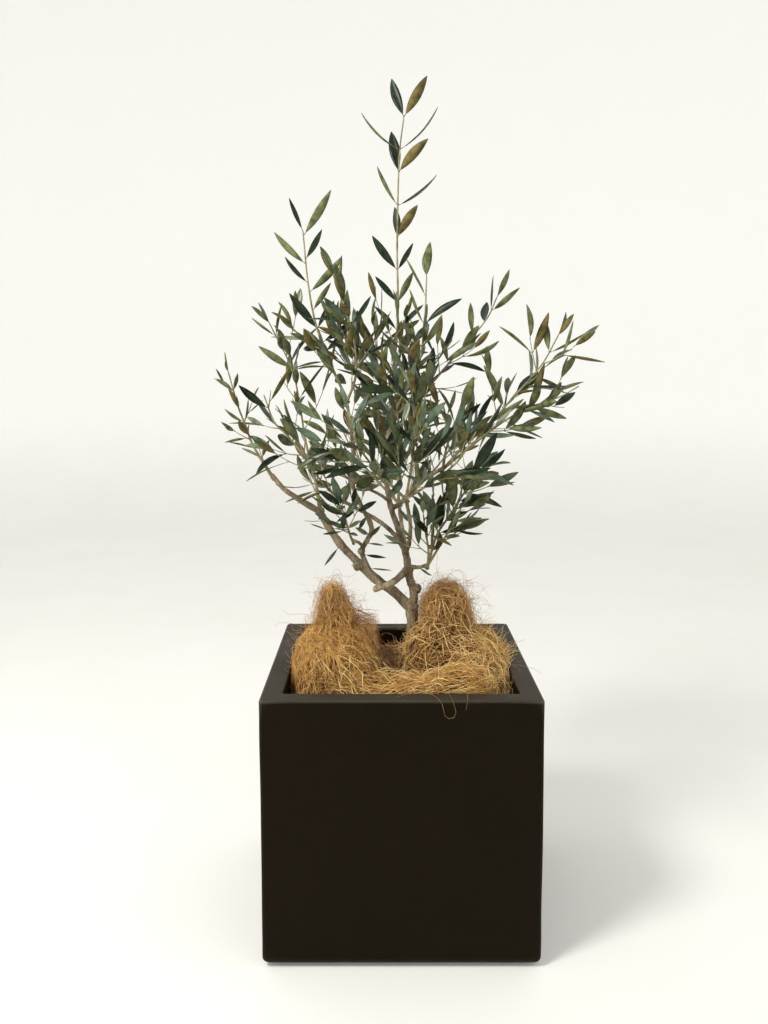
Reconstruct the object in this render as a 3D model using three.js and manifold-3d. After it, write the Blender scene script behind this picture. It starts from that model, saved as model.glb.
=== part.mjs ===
// A young olive tree in a square planter: the planter, its soil and coir mulch, the trunk, the boughs,
// and one solid for each mass of foliage. Millimetres, +Z up, -Y is the front.
// The origin is the centre of the planter's flat underside, on the floor.

import * as THREE from 'three';
import { mergeVertices } from 'three/addons/utils/BufferGeometryUtils.js';
import Module from 'manifold-3d';

const wasm = await Module();
wasm.setup();

// Driving dimensions of the planter
const planterHeight = 350;
const planterTopWidth = 372;
const planterFootWidth = 363;
const rimWidth = 29;
const planterFloor = 25;
const cavityFootWidth = 302;
const rimRounding = 3;
const footRounding = 10;
const uprightRounding = 5;
const plinthHeight = 4;
const plinthInset = 16;

// Driving dimensions of the filling
const soilTop = 310;
const soilDome = 6;
const soilFlatWidth = 110;

// The gap that pieces keep where one is seated on another
const seatGap = 0.3;

// The coir lies in lumps, each an ellipsoid: centre, then half its width, depth and height
const coirLumps = {
  coir_heap_left: [
    [-92, -20, 330, 63, 98, 86],
    [-74, -66, 322, 56, 74, 44],
    [-94, 2, 408, 20, 29, 39],
    [-107, 4, 432, 16, 25, 25],
  ],
  coir_heap_right: [
    [92, -8, 305, 78, 118, 86],
    [73, 6, 380, 33, 48, 86],
    [100, -8, 346, 54, 72, 54],
    [40, -28, 342, 26, 30, 48],
  ],
  coir_roll_front: [
    [18, -131, 329, 44, 26, 24],
    [55, -127, 341, 38, 27, 26],
    [87, -116, 352, 33, 28, 27],
    [-20, -104, 312, 84, 54, 42],
  ],
};
const lumpMeridians = 11;
const lumpParallels = 6;

// Trunk and boughs: the route of each centre line, then the diameters at its root and tip
const limbs = {
  trunk: {
    route: [[24, 2, 300], [20, 0, 398], [17.5, 0, 434]],
    root: 21,
    tip: 17.5,
    flare: 14,
    sides: 12,
  },
  bough_left: {
    route: [[14.7, 0, 426], [-9, 2, 448], [-43, 6, 472], [-90, 12, 519], [-119, 15, 564]],
    root: 14.5,
    tip: 10.5,
  },
  bough_left_outer: {
    route: [[-119, 15, 564], [-151, 12, 584], [-174, 8, 601], [-191, 4, 622]],
    root: 9.5,
    tip: 7,
  },
  bough_centre: {
    route: [[20.7, 0, 429], [21.4, 0, 448], [14.7, -2, 471], [11.7, -3, 494], [7.2, -3, 516]],
    root: 13,
    tip: 10.5,
  },
  leader: {
    route: [[7.2, -3, 514], [-1.6, 2, 542], [-12, 8, 571], [-18, 10, 608], [-18, 10, 656], [-15, 8, 708]],
    root: 9.5,
    tip: 6,
  },
  bough_pruned: {
    route: [[13, -4, 484], [-0.4, -14, 472], [-15, -24, 464], [-36, -33, 459]],
    root: 10.5,
    tip: 9.5,
  },
  bough_riser: {
    route: [
      [-27, -30, 463], [-41, -30, 480], [-55, -24, 511], [-46, -16, 530],
      [-42, -8, 548], [-69, 4, 604], [-69, 2, 661], [-79, -4, 738],
    ],
    root: 8.5,
    tip: 5,
  },
  bough_inner: { route: [[-51, -22, 518], [-60, -28, 526], [-70, -33, 531]], root: 5, tip: 4.5 },
  bough_crossing: {
    route: [[7, -3, 512], [-6, -10, 533], [-25, -17, 552], [-49, -23, 568], [-90, -30, 591]],
    root: 7.5,
    tip: 5,
  },
  bough_diagonal: {
    route: [[-13, 8, 580], [-27, -4, 592], [-48, -12, 604], [-104, -12, 633]],
    root: 5.5,
    tip: 4.5,
  },
  bough_right: {
    route: [[-13, 8, 571], [1, 11, 577], [16, 13, 594], [42, 14, 616], [70, 12, 633]],
    root: 7.5,
    tip: 5.5,
  },
  bough_spur: { route: [[13, -4, 486], [29, -14, 487], [43, -22, 493]], root: 7, tip: 5 },
  bough_front: {
    route: [[8, -3, 503], [14, -22, 524], [15, -48, 557], [8, -74, 598]],
    root: 7,
    tip: 5,
  },
  bough_back: {
    route: [[21, 2, 438], [19, 22, 456], [14, 48, 483], [7, 75, 524], [1, 95, 568]],
    root: 9.5,
    tip: 6,
  },
};
const limbSides = 7;
const limbStep = 22;

// Foliage: the bough that each mass grows from, its stem's route, how many side shoots it has and how
// long the lowest is, and the seed of its growth
const sprays = [
  {
    name: 'foliage_top', bough: 'leader', shoots: 5, reach: 85, seed: 101, turn: 35,
    internode: 45, leaf: 77, leafy: 0.72, branching: 0.3,
    route: [
      [-15, 8, 706], [-9, 4, 776], [-3, 0, 835], [-2, 0, 895], [-3, 0, 969], [0, 0, 1094], [7, 0, 1157],
    ],
  },
  {
    name: 'foliage_left_tip', bough: 'bough_left_outer', shoots: 4, reach: 40, seed: 202,
    internode: 38, leaf: 40,
    route: [[-191, 4, 620], [-217, -2, 664], [-230, -5, 699], [-240, -8, 726], [-253, -13, 775]],
  },
  {
    name: 'foliage_left_upper', bough: 'bough_left', shoots: 6, reach: 80, seed: 303,
    route: [
      [-118, 15, 561], [-127, 32, 605], [-143, 42, 668], [-153, 44, 729], [-165, 40, 782], [-198, 36, 850],
    ],
  },
  {
    name: 'foliage_low_left', bough: 'bough_crossing', shoots: 6, reach: 60, seed: 404,
    route: [[-88, -30, 590], [-104, -38, 606], [-126, -52, 636], [-142, -66, 672]],
  },
  {
    name: 'foliage_inner_left', bough: 'bough_inner', shoots: 7, reach: 50, seed: 454, leaf: 48,
    route: [[-69, -33, 530], [-74, -40, 545], [-78, -46, 562], [-84, -51, 582]],
  },
  {
    name: 'foliage_mid_left', bough: 'bough_diagonal', shoots: 5, reach: 55, seed: 505,
    route: [[-102, -12, 632], [-145, -10, 658], [-166, -12, 682], [-185, -15, 702], [-200, -18, 742]],
  },
  {
    name: 'foliage_left_high', bough: 'bough_riser', shoots: 4, reach: 50, seed: 606, turn: 20,
    leaf: 62, branching: 0.35,
    route: [[-78, -4, 736], [-97, -6, 776], [-122, -9, 840], [-135, -10, 905], [-143, -10, 985]],
  },
  {
    name: 'foliage_centre_left', bough: 'bough_riser', shoots: 5, reach: 60, seed: 707, branching: 0.6,
    route: [[-78, -4, 730], [-64, -26, 772], [-66, -42, 820], [-78, -50, 868], [-96, -52, 915]],
  },
  {
    name: 'foliage_upper_right', bough: 'leader', shoots: 5, reach: 55, seed: 808, branching: 0.6,
    route: [[-15, 8, 702], [4, -8, 738], [25, -18, 776], [35, -22, 820], [38, -22, 864], [40, -22, 915]],
  },
  {
    name: 'foliage_right_top', bough: 'leader', shoots: 5, reach: 60, seed: 909, branching: 0.6,
    route: [[-15, 8, 696], [15, 24, 730], [49, 34, 757], [80, 38, 793], [133, 42, 854], [151, 44, 890]],
  },
  {
    name: 'foliage_right_upper', bough: 'bough_right', shoots: 8, reach: 75, seed: 1010,
    route: [[69, 12, 632], [111, 14, 679], [141, 15, 702], [171, 15, 736], [215, 15, 786], [240, 15, 830]],
  },
  {
    name: 'foliage_right_outer', bough: 'bough_right', shoots: 7, reach: 60, seed: 1111,
    route: [[69, 12, 632], [106, 24, 660], [157, 32, 698], [202, 34, 722], [247, 34, 738], [276, 36, 754]],
  },
  {
    name: 'foliage_right_inner', bough: 'bough_right', shoots: 5, reach: 50, seed: 1212,
    route: [[66, 12, 630], [70, -6, 662], [80, -16, 694], [90, -18, 726]],
  },
  {
    name: 'foliage_low_centre', bough: 'bough_spur', shoots: 6, reach: 50, seed: 1262, leaf: 52,
    route: [[42, -22, 492], [42, -36, 518], [37, -46, 545], [34, -52, 570]],
  },
  {
    name: 'foliage_low_right', bough: 'bough_spur', shoots: 12, reach: 55, seed: 1313, leafy: 0.95,
    route: [[42, -22, 492], [54, -26, 535], [70, -32, 562], [94, -36, 600], [122, -38, 648]],
  },
  {
    name: 'foliage_low_right_outer', bough: 'bough_spur', shoots: 4, reach: 36, seed: 1414, leaf: 50,
    leafy: 0.6,
    route: [[42, -22, 492], [58, -36, 522], [74, -48, 552], [90, -54, 584]],
  },
  {
    name: 'foliage_front_centre', bough: 'bough_front', shoots: 7, reach: 75, seed: 1515,
    route: [[8, -73, 596], [14, -108, 640], [18, -142, 690], [14, -168, 750]],
  },
  {
    name: 'foliage_front_left', bough: 'bough_front', shoots: 7, reach: 70, seed: 1616,
    route: [[8, -73, 596], [-26, -100, 632], [-56, -126, 672], [-76, -142, 716]],
  },
  {
    name: 'foliage_front_right', bough: 'bough_front', shoots: 6, reach: 70, seed: 1717,
    route: [[8, -73, 596], [44, -104, 624], [78, -130, 656], [100, -146, 696]],
  },
  {
    name: 'foliage_back_centre', bough: 'bough_back', shoots: 8, reach: 80, seed: 1818,
    route: [[1, 95, 566], [0, 122, 620], [2, 150, 680], [-4, 172, 742], [-4, 184, 790]],
  },
  {
    name: 'foliage_back_left', bough: 'bough_back', shoots: 8, reach: 80, seed: 1919,
    route: [[1, 95, 566], [-40, 122, 606], [-74, 148, 646], [-98, 164, 692]],
  },
  {
    name: 'foliage_back_right', bough: 'bough_back', shoots: 7, reach: 80, seed: 2020,
    route: [[1, 95, 566], [46, 122, 602], [82, 146, 642], [106, 160, 688]],
  },
  {
    name: 'foliage_centre_back', bough: 'leader', shoots: 5, reach: 70, seed: 2121,
    route: [[-15, 8, 700], [-26, 44, 736], [-32, 78, 780], [-34, 96, 826]],
  },
];

// Gaps that open right through the crown to one who stands in front of it: the place of each across
// and up at the trunk, and its radius
const frontEye = new THREE.Vector3(-25, -1393, 777);
const crownGaps = [
  [-108, 912, 26], [-98, 852, 24], [-148, 848, 22], [48, 894, 22], [80, 800, 26],
  [80, 752, 20], [46, 726, 20], [-102, 724, 22], [-130, 716, 18], [-164, 650, 24],
  [-208, 776, 24], [136, 706, 20], [112, 660, 22], [166, 626, 28], [108, 538, 30],
  [140, 866, 24], [226, 800, 20], [-44, 642, 18], [62, 662, 16], [-190, 800, 20],
];

// The growth rule, shared by every mass
const stemDiameter = 4.4;
const stemTipDiameter = 1.8;
const shootDiameter = 2.6;
const shootTipDiameter = 1.4;
const twigSides = 3;
const stemStep = 42;
const shootStep = 28;
const firstShoot = 0.1;
const usualBranching = 0.92;
const shootTurn = THREE.MathUtils.degToRad(137.5);
const shootLean = THREE.MathUtils.degToRad(48);
const shootLift = 0.22;
const shortestShoot = 28;
const usualInternode = 40;
const usualLeaf = 58;
const leafRootOffset = 0.15;
const tipStretch = 2.5;
const leafSlenderness = 4.3;
const leafThicknessShare = 0.024;
const leafWidest = 0.45;
const leafLean = THREE.MathUtils.degToRad(50);
const tipLeafLean = THREE.MathUtils.degToRad(24);
const leafRoll = THREE.MathUtils.degToRad(50);
const crownLeft = -280;
const crownRight = 300;
const crownFront = -235;
const crownBack = 250;
const crownTop = 1213;
const spaceMargin = 2.2;
const limbClearance = 1.6;

// Surface finishes
const finishes = {
  planter: { color: 0x231f1a, roughness: 0.62, metalness: 0 },
  soil: { color: 0x2b211a, roughness: 0.95, metalness: 0 },
  coir: { color: 0xb98748, roughness: 0.9, metalness: 0 },
  bark: { color: 0x8b7a62, roughness: 0.85, metalness: 0 },
  foliage: { color: 0x5d6f52, roughness: 0.55, metalness: 0 },
};

const tree = new THREE.Group();

function addNode(name, geometry, finish) {
  const mesh = new THREE.Mesh(geometry, new THREE.MeshStandardMaterial(finishes[finish]));
  mesh.name = name;
  tree.add(mesh);
}

// Plain geometry from a list of corners and a list of triangles
function geometryFrom(corners, triangles) {
  const geometry = new THREE.BufferGeometry();
  geometry.setAttribute('position', new THREE.Float32BufferAttribute(corners.flat(), 3));
  geometry.setIndex(triangles.flat());
  return geometry;
}

// Closed geometry to a solid that can be joined and cut, and back
function toSolid(geometry) {
  const bare = geometry.clone();
  bare.deleteAttribute('normal');
  bare.deleteAttribute('uv');
  const merged = mergeVertices(bare);
  return new wasm.Manifold(new wasm.Mesh({
    numProp: 3,
    vertProperties: new Float32Array(merged.getAttribute('position').array),
    triVerts: new Uint32Array(merged.getIndex().array),
  }));
}

function toGeometry(solid) {
  const mesh = solid.getMesh();
  const geometry = new THREE.BufferGeometry();
  geometry.setAttribute('position', new THREE.BufferAttribute(new Float32Array(mesh.vertProperties), 3));
  geometry.setIndex(new THREE.BufferAttribute(new Uint32Array(mesh.triVerts), 1));
  geometry.computeVertexNormals();
  return geometry;
}

// The largest closed body of a solid: loose scraps are dropped and sealed hollows are filled
function largestBody(solid) {
  const bodies = solid.decompose();
  return bodies.reduce((largest, body) => (body.volume() > largest.volume() ? body : largest));
}

// A closed skin over rings of equal count, capped across the first and the last
function skinRings(rings) {
  const count = rings[0].length;
  const triangles = [];
  for (let level = 0; level + 1 < rings.length; level += 1) {
    for (let i = 0; i < count; i += 1) {
      const next = (i + 1) % count;
      const lower = level * count;
      const upper = lower + count;
      triangles.push([lower + i, lower + next, upper + next], [lower + i, upper + next, upper + i]);
    }
  }
  const last = (rings.length - 1) * count;
  for (let i = 1; i + 1 < count; i += 1) {
    triangles.push([0, i + 1, i], [last, last + i, last + i + 1]);
  }
  return geometryFrom(rings.flat(), triangles);
}

// A square ring with rounded corners, counter-clockwise from above
function squareRing(width, cornerRadius, z) {
  const stepsPerCorner = 3;
  const ring = [];
  for (let corner = 0; corner < 4; corner += 1) {
    const toRight = corner === 0 || corner === 3 ? 1 : -1;
    const toBack = corner < 2 ? 1 : -1;
    for (let step = 0; step <= stepsPerCorner; step += 1) {
      const angle = (corner + step / stepsPerCorner) * Math.PI / 2;
      const centre = width / 2 - cornerRadius;
      ring.push([
        toRight * centre + cornerRadius * Math.cos(angle),
        toBack * centre + cornerRadius * Math.sin(angle),
        z,
      ]);
    }
  }
  return ring;
}

// Planter widths at a height, outside and inside
function outerWidth(z) {
  return THREE.MathUtils.lerp(planterFootWidth, planterTopWidth, z / planterHeight);
}

function cavityWidth(z) {
  const share = (z - planterFloor) / (planterHeight - planterFloor);
  return THREE.MathUtils.lerp(cavityFootWidth, planterTopWidth - 2 * rimWidth, share);
}

// The planter: a recessed plinth, a rounded foot, a leaning wall, a flat rim, and a deep cavity
function planterGeometry() {
  const rings = [];
  const plinthWidth = planterFootWidth - 2 * plinthInset;
  rings.push(squareRing(plinthWidth, uprightRounding, 0));
  rings.push(squareRing(plinthWidth, uprightRounding, plinthHeight));
  for (const turn of [0, 30, 60, 90]) {
    const angle = THREE.MathUtils.degToRad(turn);
    const z = plinthHeight + footRounding * (1 - Math.cos(angle));
    const width = outerWidth(z) - 2 * footRounding * (1 - Math.sin(angle));
    rings.push(squareRing(width, uprightRounding, z));
  }
  for (const turn of [0, 45, 90]) {
    const angle = THREE.MathUtils.degToRad(turn);
    const z = planterHeight - rimRounding * (1 - Math.sin(angle));
    rings.push(squareRing(planterTopWidth - 2 * rimRounding * (1 - Math.cos(angle)), uprightRounding, z));
  }
  for (const turn of [0, 45, 90]) {
    const angle = THREE.MathUtils.degToRad(turn);
    const z = planterHeight - rimRounding * (1 - Math.cos(angle));
    rings.push(squareRing(cavityWidth(z) + 2 * rimRounding * (1 - Math.sin(angle)), uprightRounding, z));
  }
  rings.push(squareRing(cavityWidth(planterFloor), uprightRounding, planterFloor));
  return skinRings(rings);
}

// The soil: a block that fills the cavity, with a low dome and a flat patch where the trunk stands
function soilGeometry(grow) {
  const bottom = planterFloor + seatGap - grow;
  const shoulder = soilTop - soilDome + grow;
  const rings = [
    squareRing(cavityWidth(bottom) - 2 * seatGap + 2 * grow, uprightRounding, bottom),
    squareRing(cavityWidth(shoulder) - 2 * seatGap + 2 * grow, uprightRounding, shoulder),
    squareRing(soilFlatWidth + 2 * grow, soilFlatWidth / 3, soilTop + grow),
  ];
  return skinRings(rings);
}

// The space over the soil and inside the rim that the coir keeps to
function mulchSpace() {
  const top = 2 * planterHeight;
  const clear = 2 * seatGap;
  return toSolid(skinRings([
    squareRing(cavityWidth(soilTop - 4 * soilDome) - clear, uprightRounding, soilTop - 4 * soilDome),
    squareRing(cavityWidth(planterHeight) - clear, uprightRounding, planterHeight),
    squareRing(cavityWidth(planterHeight) - clear, uprightRounding, top),
  ]));
}

// Route work: points at even steps along a smooth curve, and a frame carried along them
function routePoints(route, stepLength) {
  const corners = route.map((corner) => new THREE.Vector3(...corner));
  const curve = new THREE.CatmullRomCurve3(corners, false, 'catmullrom', 0.5);
  return curve.getSpacedPoints(Math.max(2, Math.round(curve.getLength() / stepLength)));
}

function carryFrames(points) {
  const frames = [];
  let across = new THREE.Vector3(0, 1, 0);
  points.forEach((point, index) => {
    const before = points[Math.max(index - 1, 0)];
    const after = points[Math.min(index + 1, points.length - 1)];
    const along = after.clone().sub(before).normalize();
    across = across.clone().addScaledVector(along, -across.dot(along)).normalize();
    frames.push({ point, along, across, up: new THREE.Vector3().crossVectors(along, across) });
  });
  return frames;
}

// A direction that leans away from a frame's line, to the side that the turn says
function leaningWay(frame, lean, turn) {
  return frame.along.clone().multiplyScalar(Math.cos(lean))
    .addScaledVector(frame.across, Math.sin(lean) * Math.cos(turn))
    .addScaledVector(frame.up, Math.sin(lean) * Math.sin(turn))
    .normalize();
}

// A tapering tube round a carried frame; grow thickens and lengthens it, for cutting a seat
function taperingTube(frames, radiusAt, sides, grow = 0) {
  const last = frames.length - 1;
  const rings = frames.map((frame, index) => {
    const radius = radiusAt(index / last) + grow;
    const push = index === 0 ? -grow : index === last ? grow : 0;
    const centre = frame.point.clone().addScaledVector(frame.along, push);
    const ring = [];
    for (let i = 0; i < sides; i += 1) {
      const angle = (i / sides) * 2 * Math.PI;
      ring.push(
        centre.clone()
          .addScaledVector(frame.across, radius * Math.cos(angle))
          .addScaledVector(frame.up, radius * Math.sin(angle))
          .toArray(),
      );
    }
    return ring;
  });
  return toSolid(skinRings(rings));
}

// A limb's radius: an even taper, with a root flare where it has one
function limbRadius(limb, share) {
  const flareLength = 0.22;
  const flare = (limb.flare ?? 0) * Math.exp(-share / flareLength);
  return (THREE.MathUtils.lerp(limb.root, limb.tip, share) + flare) / 2;
}

function limbSolid(limb, grow) {
  const frames = carryFrames(routePoints(limb.route, limbStep));
  return taperingTube(frames, (share) => limbRadius(limb, share), limb.sides ?? limbSides, grow);
}

// Seeded draws: the same seed gives the same row of numbers between 0 and 1
function seededDraw(seed) {
  let state = seed;
  return () => {
    state = (state * 16807) % 2147483647;
    return state / 2147483647;
  };
}

function nearest(point, line) {
  return line.reduce((least, other) => Math.min(least, point.distanceTo(other)), Infinity);
}

// What every shoot and leaf is tested against: the limbs, and each mass's stem as the spine of its space
const spineStep = 8;
const limbLines = Object.values(limbs).flatMap((limb) => {
  const points = routePoints(limb.route, spineStep);
  const last = points.length - 1;
  return points.map((point, index) => ({ point, radius: limbRadius(limb, index / last) }));
});
for (const spray of sprays) {
  spray.spine = routePoints(spray.route, spineStep);
}

function clearOfLimbs(point, clearance) {
  return limbLines.every((place) => point.distanceTo(place.point) > place.radius + clearance);
}

function inCrown(point) {
  return point.x > crownLeft && point.x < crownRight
    && point.y > crownFront && point.y < crownBack && point.z < crownTop;
}

function inOwnSpace(point, spray, margin) {
  if (!inCrown(point)) {
    return false;
  }
  const own = nearest(point, spray.spine);
  return sprays.every((other) => {
    if (other === spray) {
      return true;
    }
    const away = nearest(point, other.spine);
    return away > own + margin && away > stemDiameter / 2 + limbClearance;
  });
}

// Whether a point would close one of the gaps
function inGap(point) {
  const ontoTrunk = frontEye.y / (frontEye.y - point.y);
  const seen = frontEye.clone().lerp(point, ontoTrunk);
  return crownGaps.some(([x, z, radius]) => Math.hypot(seen.x - x, seen.z - z) < radius);
}

// Side shoots leave the branching part of the stem at a seeded turn and lean, rise towards the light,
// and stop where they would leave the mass's own space or touch a limb
function growShoots(spray, stem) {
  const draw = seededDraw(spray.seed);
  const branching = spray.branching ?? usualBranching;
  const shoots = [];
  for (let k = 0; k < spray.shoots; k += 1) {
    const place = firstShoot + (branching - firstShoot) * ((k + 0.6 * draw()) / spray.shoots);
    const turn = k * shootTurn + 0.9 * (draw() - 0.5);
    const lean = shootLean * (0.85 + 0.3 * draw());
    const length = spray.reach * (1 - 0.45 * place) * (0.75 + 0.5 * draw());
    const frame = stem[Math.round(place * (stem.length - 1))];
    const way = leaningWay(frame, lean, turn);
    const points = [frame.point.clone()];
    while (points.length * shootStep <= length + shootStep / 2) {
      way.z += shootLift;
      way.normalize();
      const point = points.at(-1).clone().addScaledVector(way, shootStep);
      const middle = points.at(-1).clone().lerp(point, 0.5);
      const fits = [point, middle].every((spot) => (
        inOwnSpace(spot, spray, 2 * spaceMargin) && clearOfLimbs(spot, limbClearance + shootDiameter)
      ));
      if (!fits) {
        break;
      }
      points.push(point);
    }
    if ((points.length - 1) * shootStep >= shortestShoot) {
      shoots.push({ frames: carryFrames(points), seed: spray.seed + 17 * (k + 1) });
    }
  }
  return shoots;
}

// The frame at a distance back from the end of a stem or shoot
function frameBack(frames, distance) {
  let left = distance;
  for (let index = frames.length - 1; index > 0; index -= 1) {
    const span = frames[index].point.distanceTo(frames[index - 1].point);
    if (left <= span) {
      const point = frames[index].point.clone().lerp(frames[index - 1].point, left / span);
      return { ...frames[index], point };
    }
    left -= span;
  }
  return frames[0];
}

function lineLength(frames) {
  let length = 0;
  for (let index = 1; index < frames.length; index += 1) {
    length += frames[index].point.distanceTo(frames[index - 1].point);
  }
  return length;
}

// A leaf is a slim eight-sided blade: root, tip, two edges, and a ridge above and below
function leafSolid(root, way, across, length) {
  const face = new THREE.Vector3().crossVectors(way, across);
  const middle = root.clone().addScaledVector(way, length * leafWidest);
  const halfWidth = length / leafSlenderness / 2;
  const halfThickness = length * leafThicknessShare / 2;
  const corners = [
    root,
    root.clone().addScaledVector(way, length),
    middle.clone().addScaledVector(across, halfWidth),
    middle.clone().addScaledVector(face, halfThickness),
    middle.clone().addScaledVector(across, -halfWidth),
    middle.clone().addScaledVector(face, -halfThickness),
  ];
  const triangles = [];
  for (let i = 0; i < 4; i += 1) {
    const here = 2 + i;
    const next = 2 + ((i + 1) % 4);
    triangles.push([0, next, here], [1, here, next]);
  }
  const places = corners.map((corner) => corner.toArray());
  return { corners, solid: () => toSolid(geometryFrom(places, triangles)) };
}

// Leaves stand in pairs, each pair a quarter turn from the last, from the tip back to the bare stretch
function growLeaves(spray, frames, seed, bare) {
  const draw = seededDraw(seed);
  const internode = spray.internode ?? usualInternode;
  const leafy = lineLength(frames) * (1 - bare);
  const drawnTurn = spray.turn === undefined;
  const firstTurn = drawnTurn ? Math.PI * draw() : THREE.MathUtils.degToRad(spray.turn);
  const leaves = [];
  for (let pair = 0; pair * internode < leafy; pair += 1) {
    const frame = frameBack(frames, pair * internode + tipStretch);
    for (const side of [0, Math.PI]) {
      const turn = firstTurn + pair * Math.PI / 2 + side + 0.5 * (draw() - 0.5);
      const lean = (pair === 0 ? tipLeafLean : leafLean) * (0.8 + 0.4 * draw());
      const length = (spray.leaf ?? usualLeaf) * (0.8 + 0.4 * draw());
      const roll = leafRoll * (2 * draw() - 1);
      const way = leaningWay(frame, lean, turn);
      const flat = new THREE.Vector3().crossVectors(frame.along, way).normalize();
      const across = flat.clone().applyAxisAngle(way, roll);
      const root = frame.point.clone().addScaledVector(way, leafRootOffset);
      const leaf = leafSolid(root, way, across, length);
      const quarter = root.clone().lerp(leaf.corners[1], 0.25);
      const threeQuarters = root.clone().lerp(leaf.corners[1], 0.75);
      const spots = [...leaf.corners, quarter, threeQuarters];
      const fits = spots.every((spot) => (
        inOwnSpace(spot, spray, spaceMargin) && clearOfLimbs(spot, limbClearance)
      ));
      if (fits && !inGap(threeQuarters)) {
        leaves.push(leaf.solid());
      }
    }
  }
  return leaves;
}

// One mass: its stem, side shoots and leaves, joined to one body
function spraySolid(spray) {
  const stem = carryFrames(routePoints(spray.route, stemStep));
  const stemRadius = (share) => THREE.MathUtils.lerp(stemDiameter, stemTipDiameter, share) / 2;
  const shootRadius = (share) => THREE.MathUtils.lerp(shootDiameter, shootTipDiameter, share) / 2;
  const pieces = [taperingTube(stem, stemRadius, twigSides)];
  pieces.push(...growLeaves(spray, stem, spray.seed + 5, 1 - (spray.leafy ?? 0.85)));
  for (const shoot of growShoots(spray, stem)) {
    pieces.push(taperingTube(shoot.frames, shootRadius, twigSides));
    pieces.push(...growLeaves(spray, shoot.frames, shoot.seed, 0.2));
  }
  return wasm.Manifold.union(pieces);
}

// Planter and soil
addNode('planter', planterGeometry(), 'planter');
addNode('soil', soilGeometry(0), 'soil');
const soilClearance = toSolid(soilGeometry(seatGap));

// Trunk and boughs: each is seated on the limbs before it
const seats = [soilClearance];
const limbClearances = [];
for (const [name, limb] of Object.entries(limbs)) {
  let solid = limbSolid(limb, 0);
  for (const seat of seats) {
    solid = solid.subtract(seat);
  }
  addNode(name, toGeometry(largestBody(solid)), 'bark');
  const clearance = limbSolid(limb, seatGap);
  seats.push(clearance);
  limbClearances.push(clearance);
}

// Coir: lumps inside the rim, cut clear of the soil, the limbs and each other
function lumpSolid([x, y, z, halfWidth, halfDepth, halfHeight], grow) {
  const lump = new THREE.SphereGeometry(1, lumpMeridians, lumpParallels);
  lump.scale(halfWidth + grow, halfDepth + grow, halfHeight + grow);
  lump.translate(x, y, z);
  return toSolid(lump);
}

const coirSeats = [soilClearance, ...limbClearances];
for (const [name, lumps] of Object.entries(coirLumps)) {
  let solid = wasm.Manifold.union(lumps.map((lump) => lumpSolid(lump, 0))).intersect(mulchSpace());
  for (const seat of coirSeats) {
    solid = solid.subtract(seat);
  }
  addNode(name, toGeometry(largestBody(solid)), 'coir');
  coirSeats.push(wasm.Manifold.union(lumps.map((lump) => lumpSolid(lump, 2 * seatGap))));
}

// Foliage: each mass is cut clear of the limbs, and of the stems that start from the same bough
const stemSeats = [];
for (const spray of sprays) {
  const besideIt = stemSeats.filter((seat) => seat.bough === spray.bough).map((seat) => seat.solid);
  let solid = spraySolid(spray);
  for (const seat of [...limbClearances, ...besideIt]) {
    solid = solid.subtract(seat);
  }
  addNode(spray.name, toGeometry(largestBody(solid)), 'foliage');
  const stem = carryFrames(routePoints(spray.route, stemStep));
  stemSeats.push({
    bough: spray.bough,
    solid: taperingTube(stem, () => stemDiameter / 2, twigSides, seatGap),
  });
}

export default tree;
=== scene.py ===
# %% [markdown]
# # A young olive tree in a square planter
#
# The real thing is a nursery plant about 1.2 m tall: a fibre clay planter, moist soil under a tangle
# of coconut fibre, a thin trunk that forks low, and an open crown of slender leaves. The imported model
# already fixes every size. This lesson dresses it: each cell makes one piece or one finish around
# that frame, in metres, and nothing is fitted afterwards.

# %% Load the frame
import math

import bpy
import numpy as np
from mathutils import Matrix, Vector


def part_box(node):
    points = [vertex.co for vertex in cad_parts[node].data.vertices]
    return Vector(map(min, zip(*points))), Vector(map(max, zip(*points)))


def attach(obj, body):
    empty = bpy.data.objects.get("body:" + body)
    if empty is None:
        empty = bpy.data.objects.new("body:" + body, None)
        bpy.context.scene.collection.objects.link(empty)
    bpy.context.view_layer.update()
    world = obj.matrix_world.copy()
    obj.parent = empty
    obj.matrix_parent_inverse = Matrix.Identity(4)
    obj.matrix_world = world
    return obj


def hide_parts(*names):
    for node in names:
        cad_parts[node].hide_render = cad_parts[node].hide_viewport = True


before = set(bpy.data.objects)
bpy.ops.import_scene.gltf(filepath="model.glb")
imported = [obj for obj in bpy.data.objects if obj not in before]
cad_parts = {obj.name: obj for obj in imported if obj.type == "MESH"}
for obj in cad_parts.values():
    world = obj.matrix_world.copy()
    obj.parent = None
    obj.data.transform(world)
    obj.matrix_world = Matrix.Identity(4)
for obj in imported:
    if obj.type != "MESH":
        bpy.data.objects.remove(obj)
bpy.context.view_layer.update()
planter_low, planter_high = (np.array(corner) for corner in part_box("planter"))
soil_low, soil_high = (np.array(corner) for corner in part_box("soil"))
print("planter", (planter_high - planter_low).round(3), "soil surface at", round(float(soil_high[2]), 3))

# %% [markdown]
# ## Shader maths as Python
#
# A material in Blender is a graph of nodes. Sums of sockets are easier to read as Python, so a small
# class wraps a socket and its operators add Math nodes. Colours never go through a Math node, because
# that would turn them grey: they are blended by Mix nodes instead.

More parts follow.
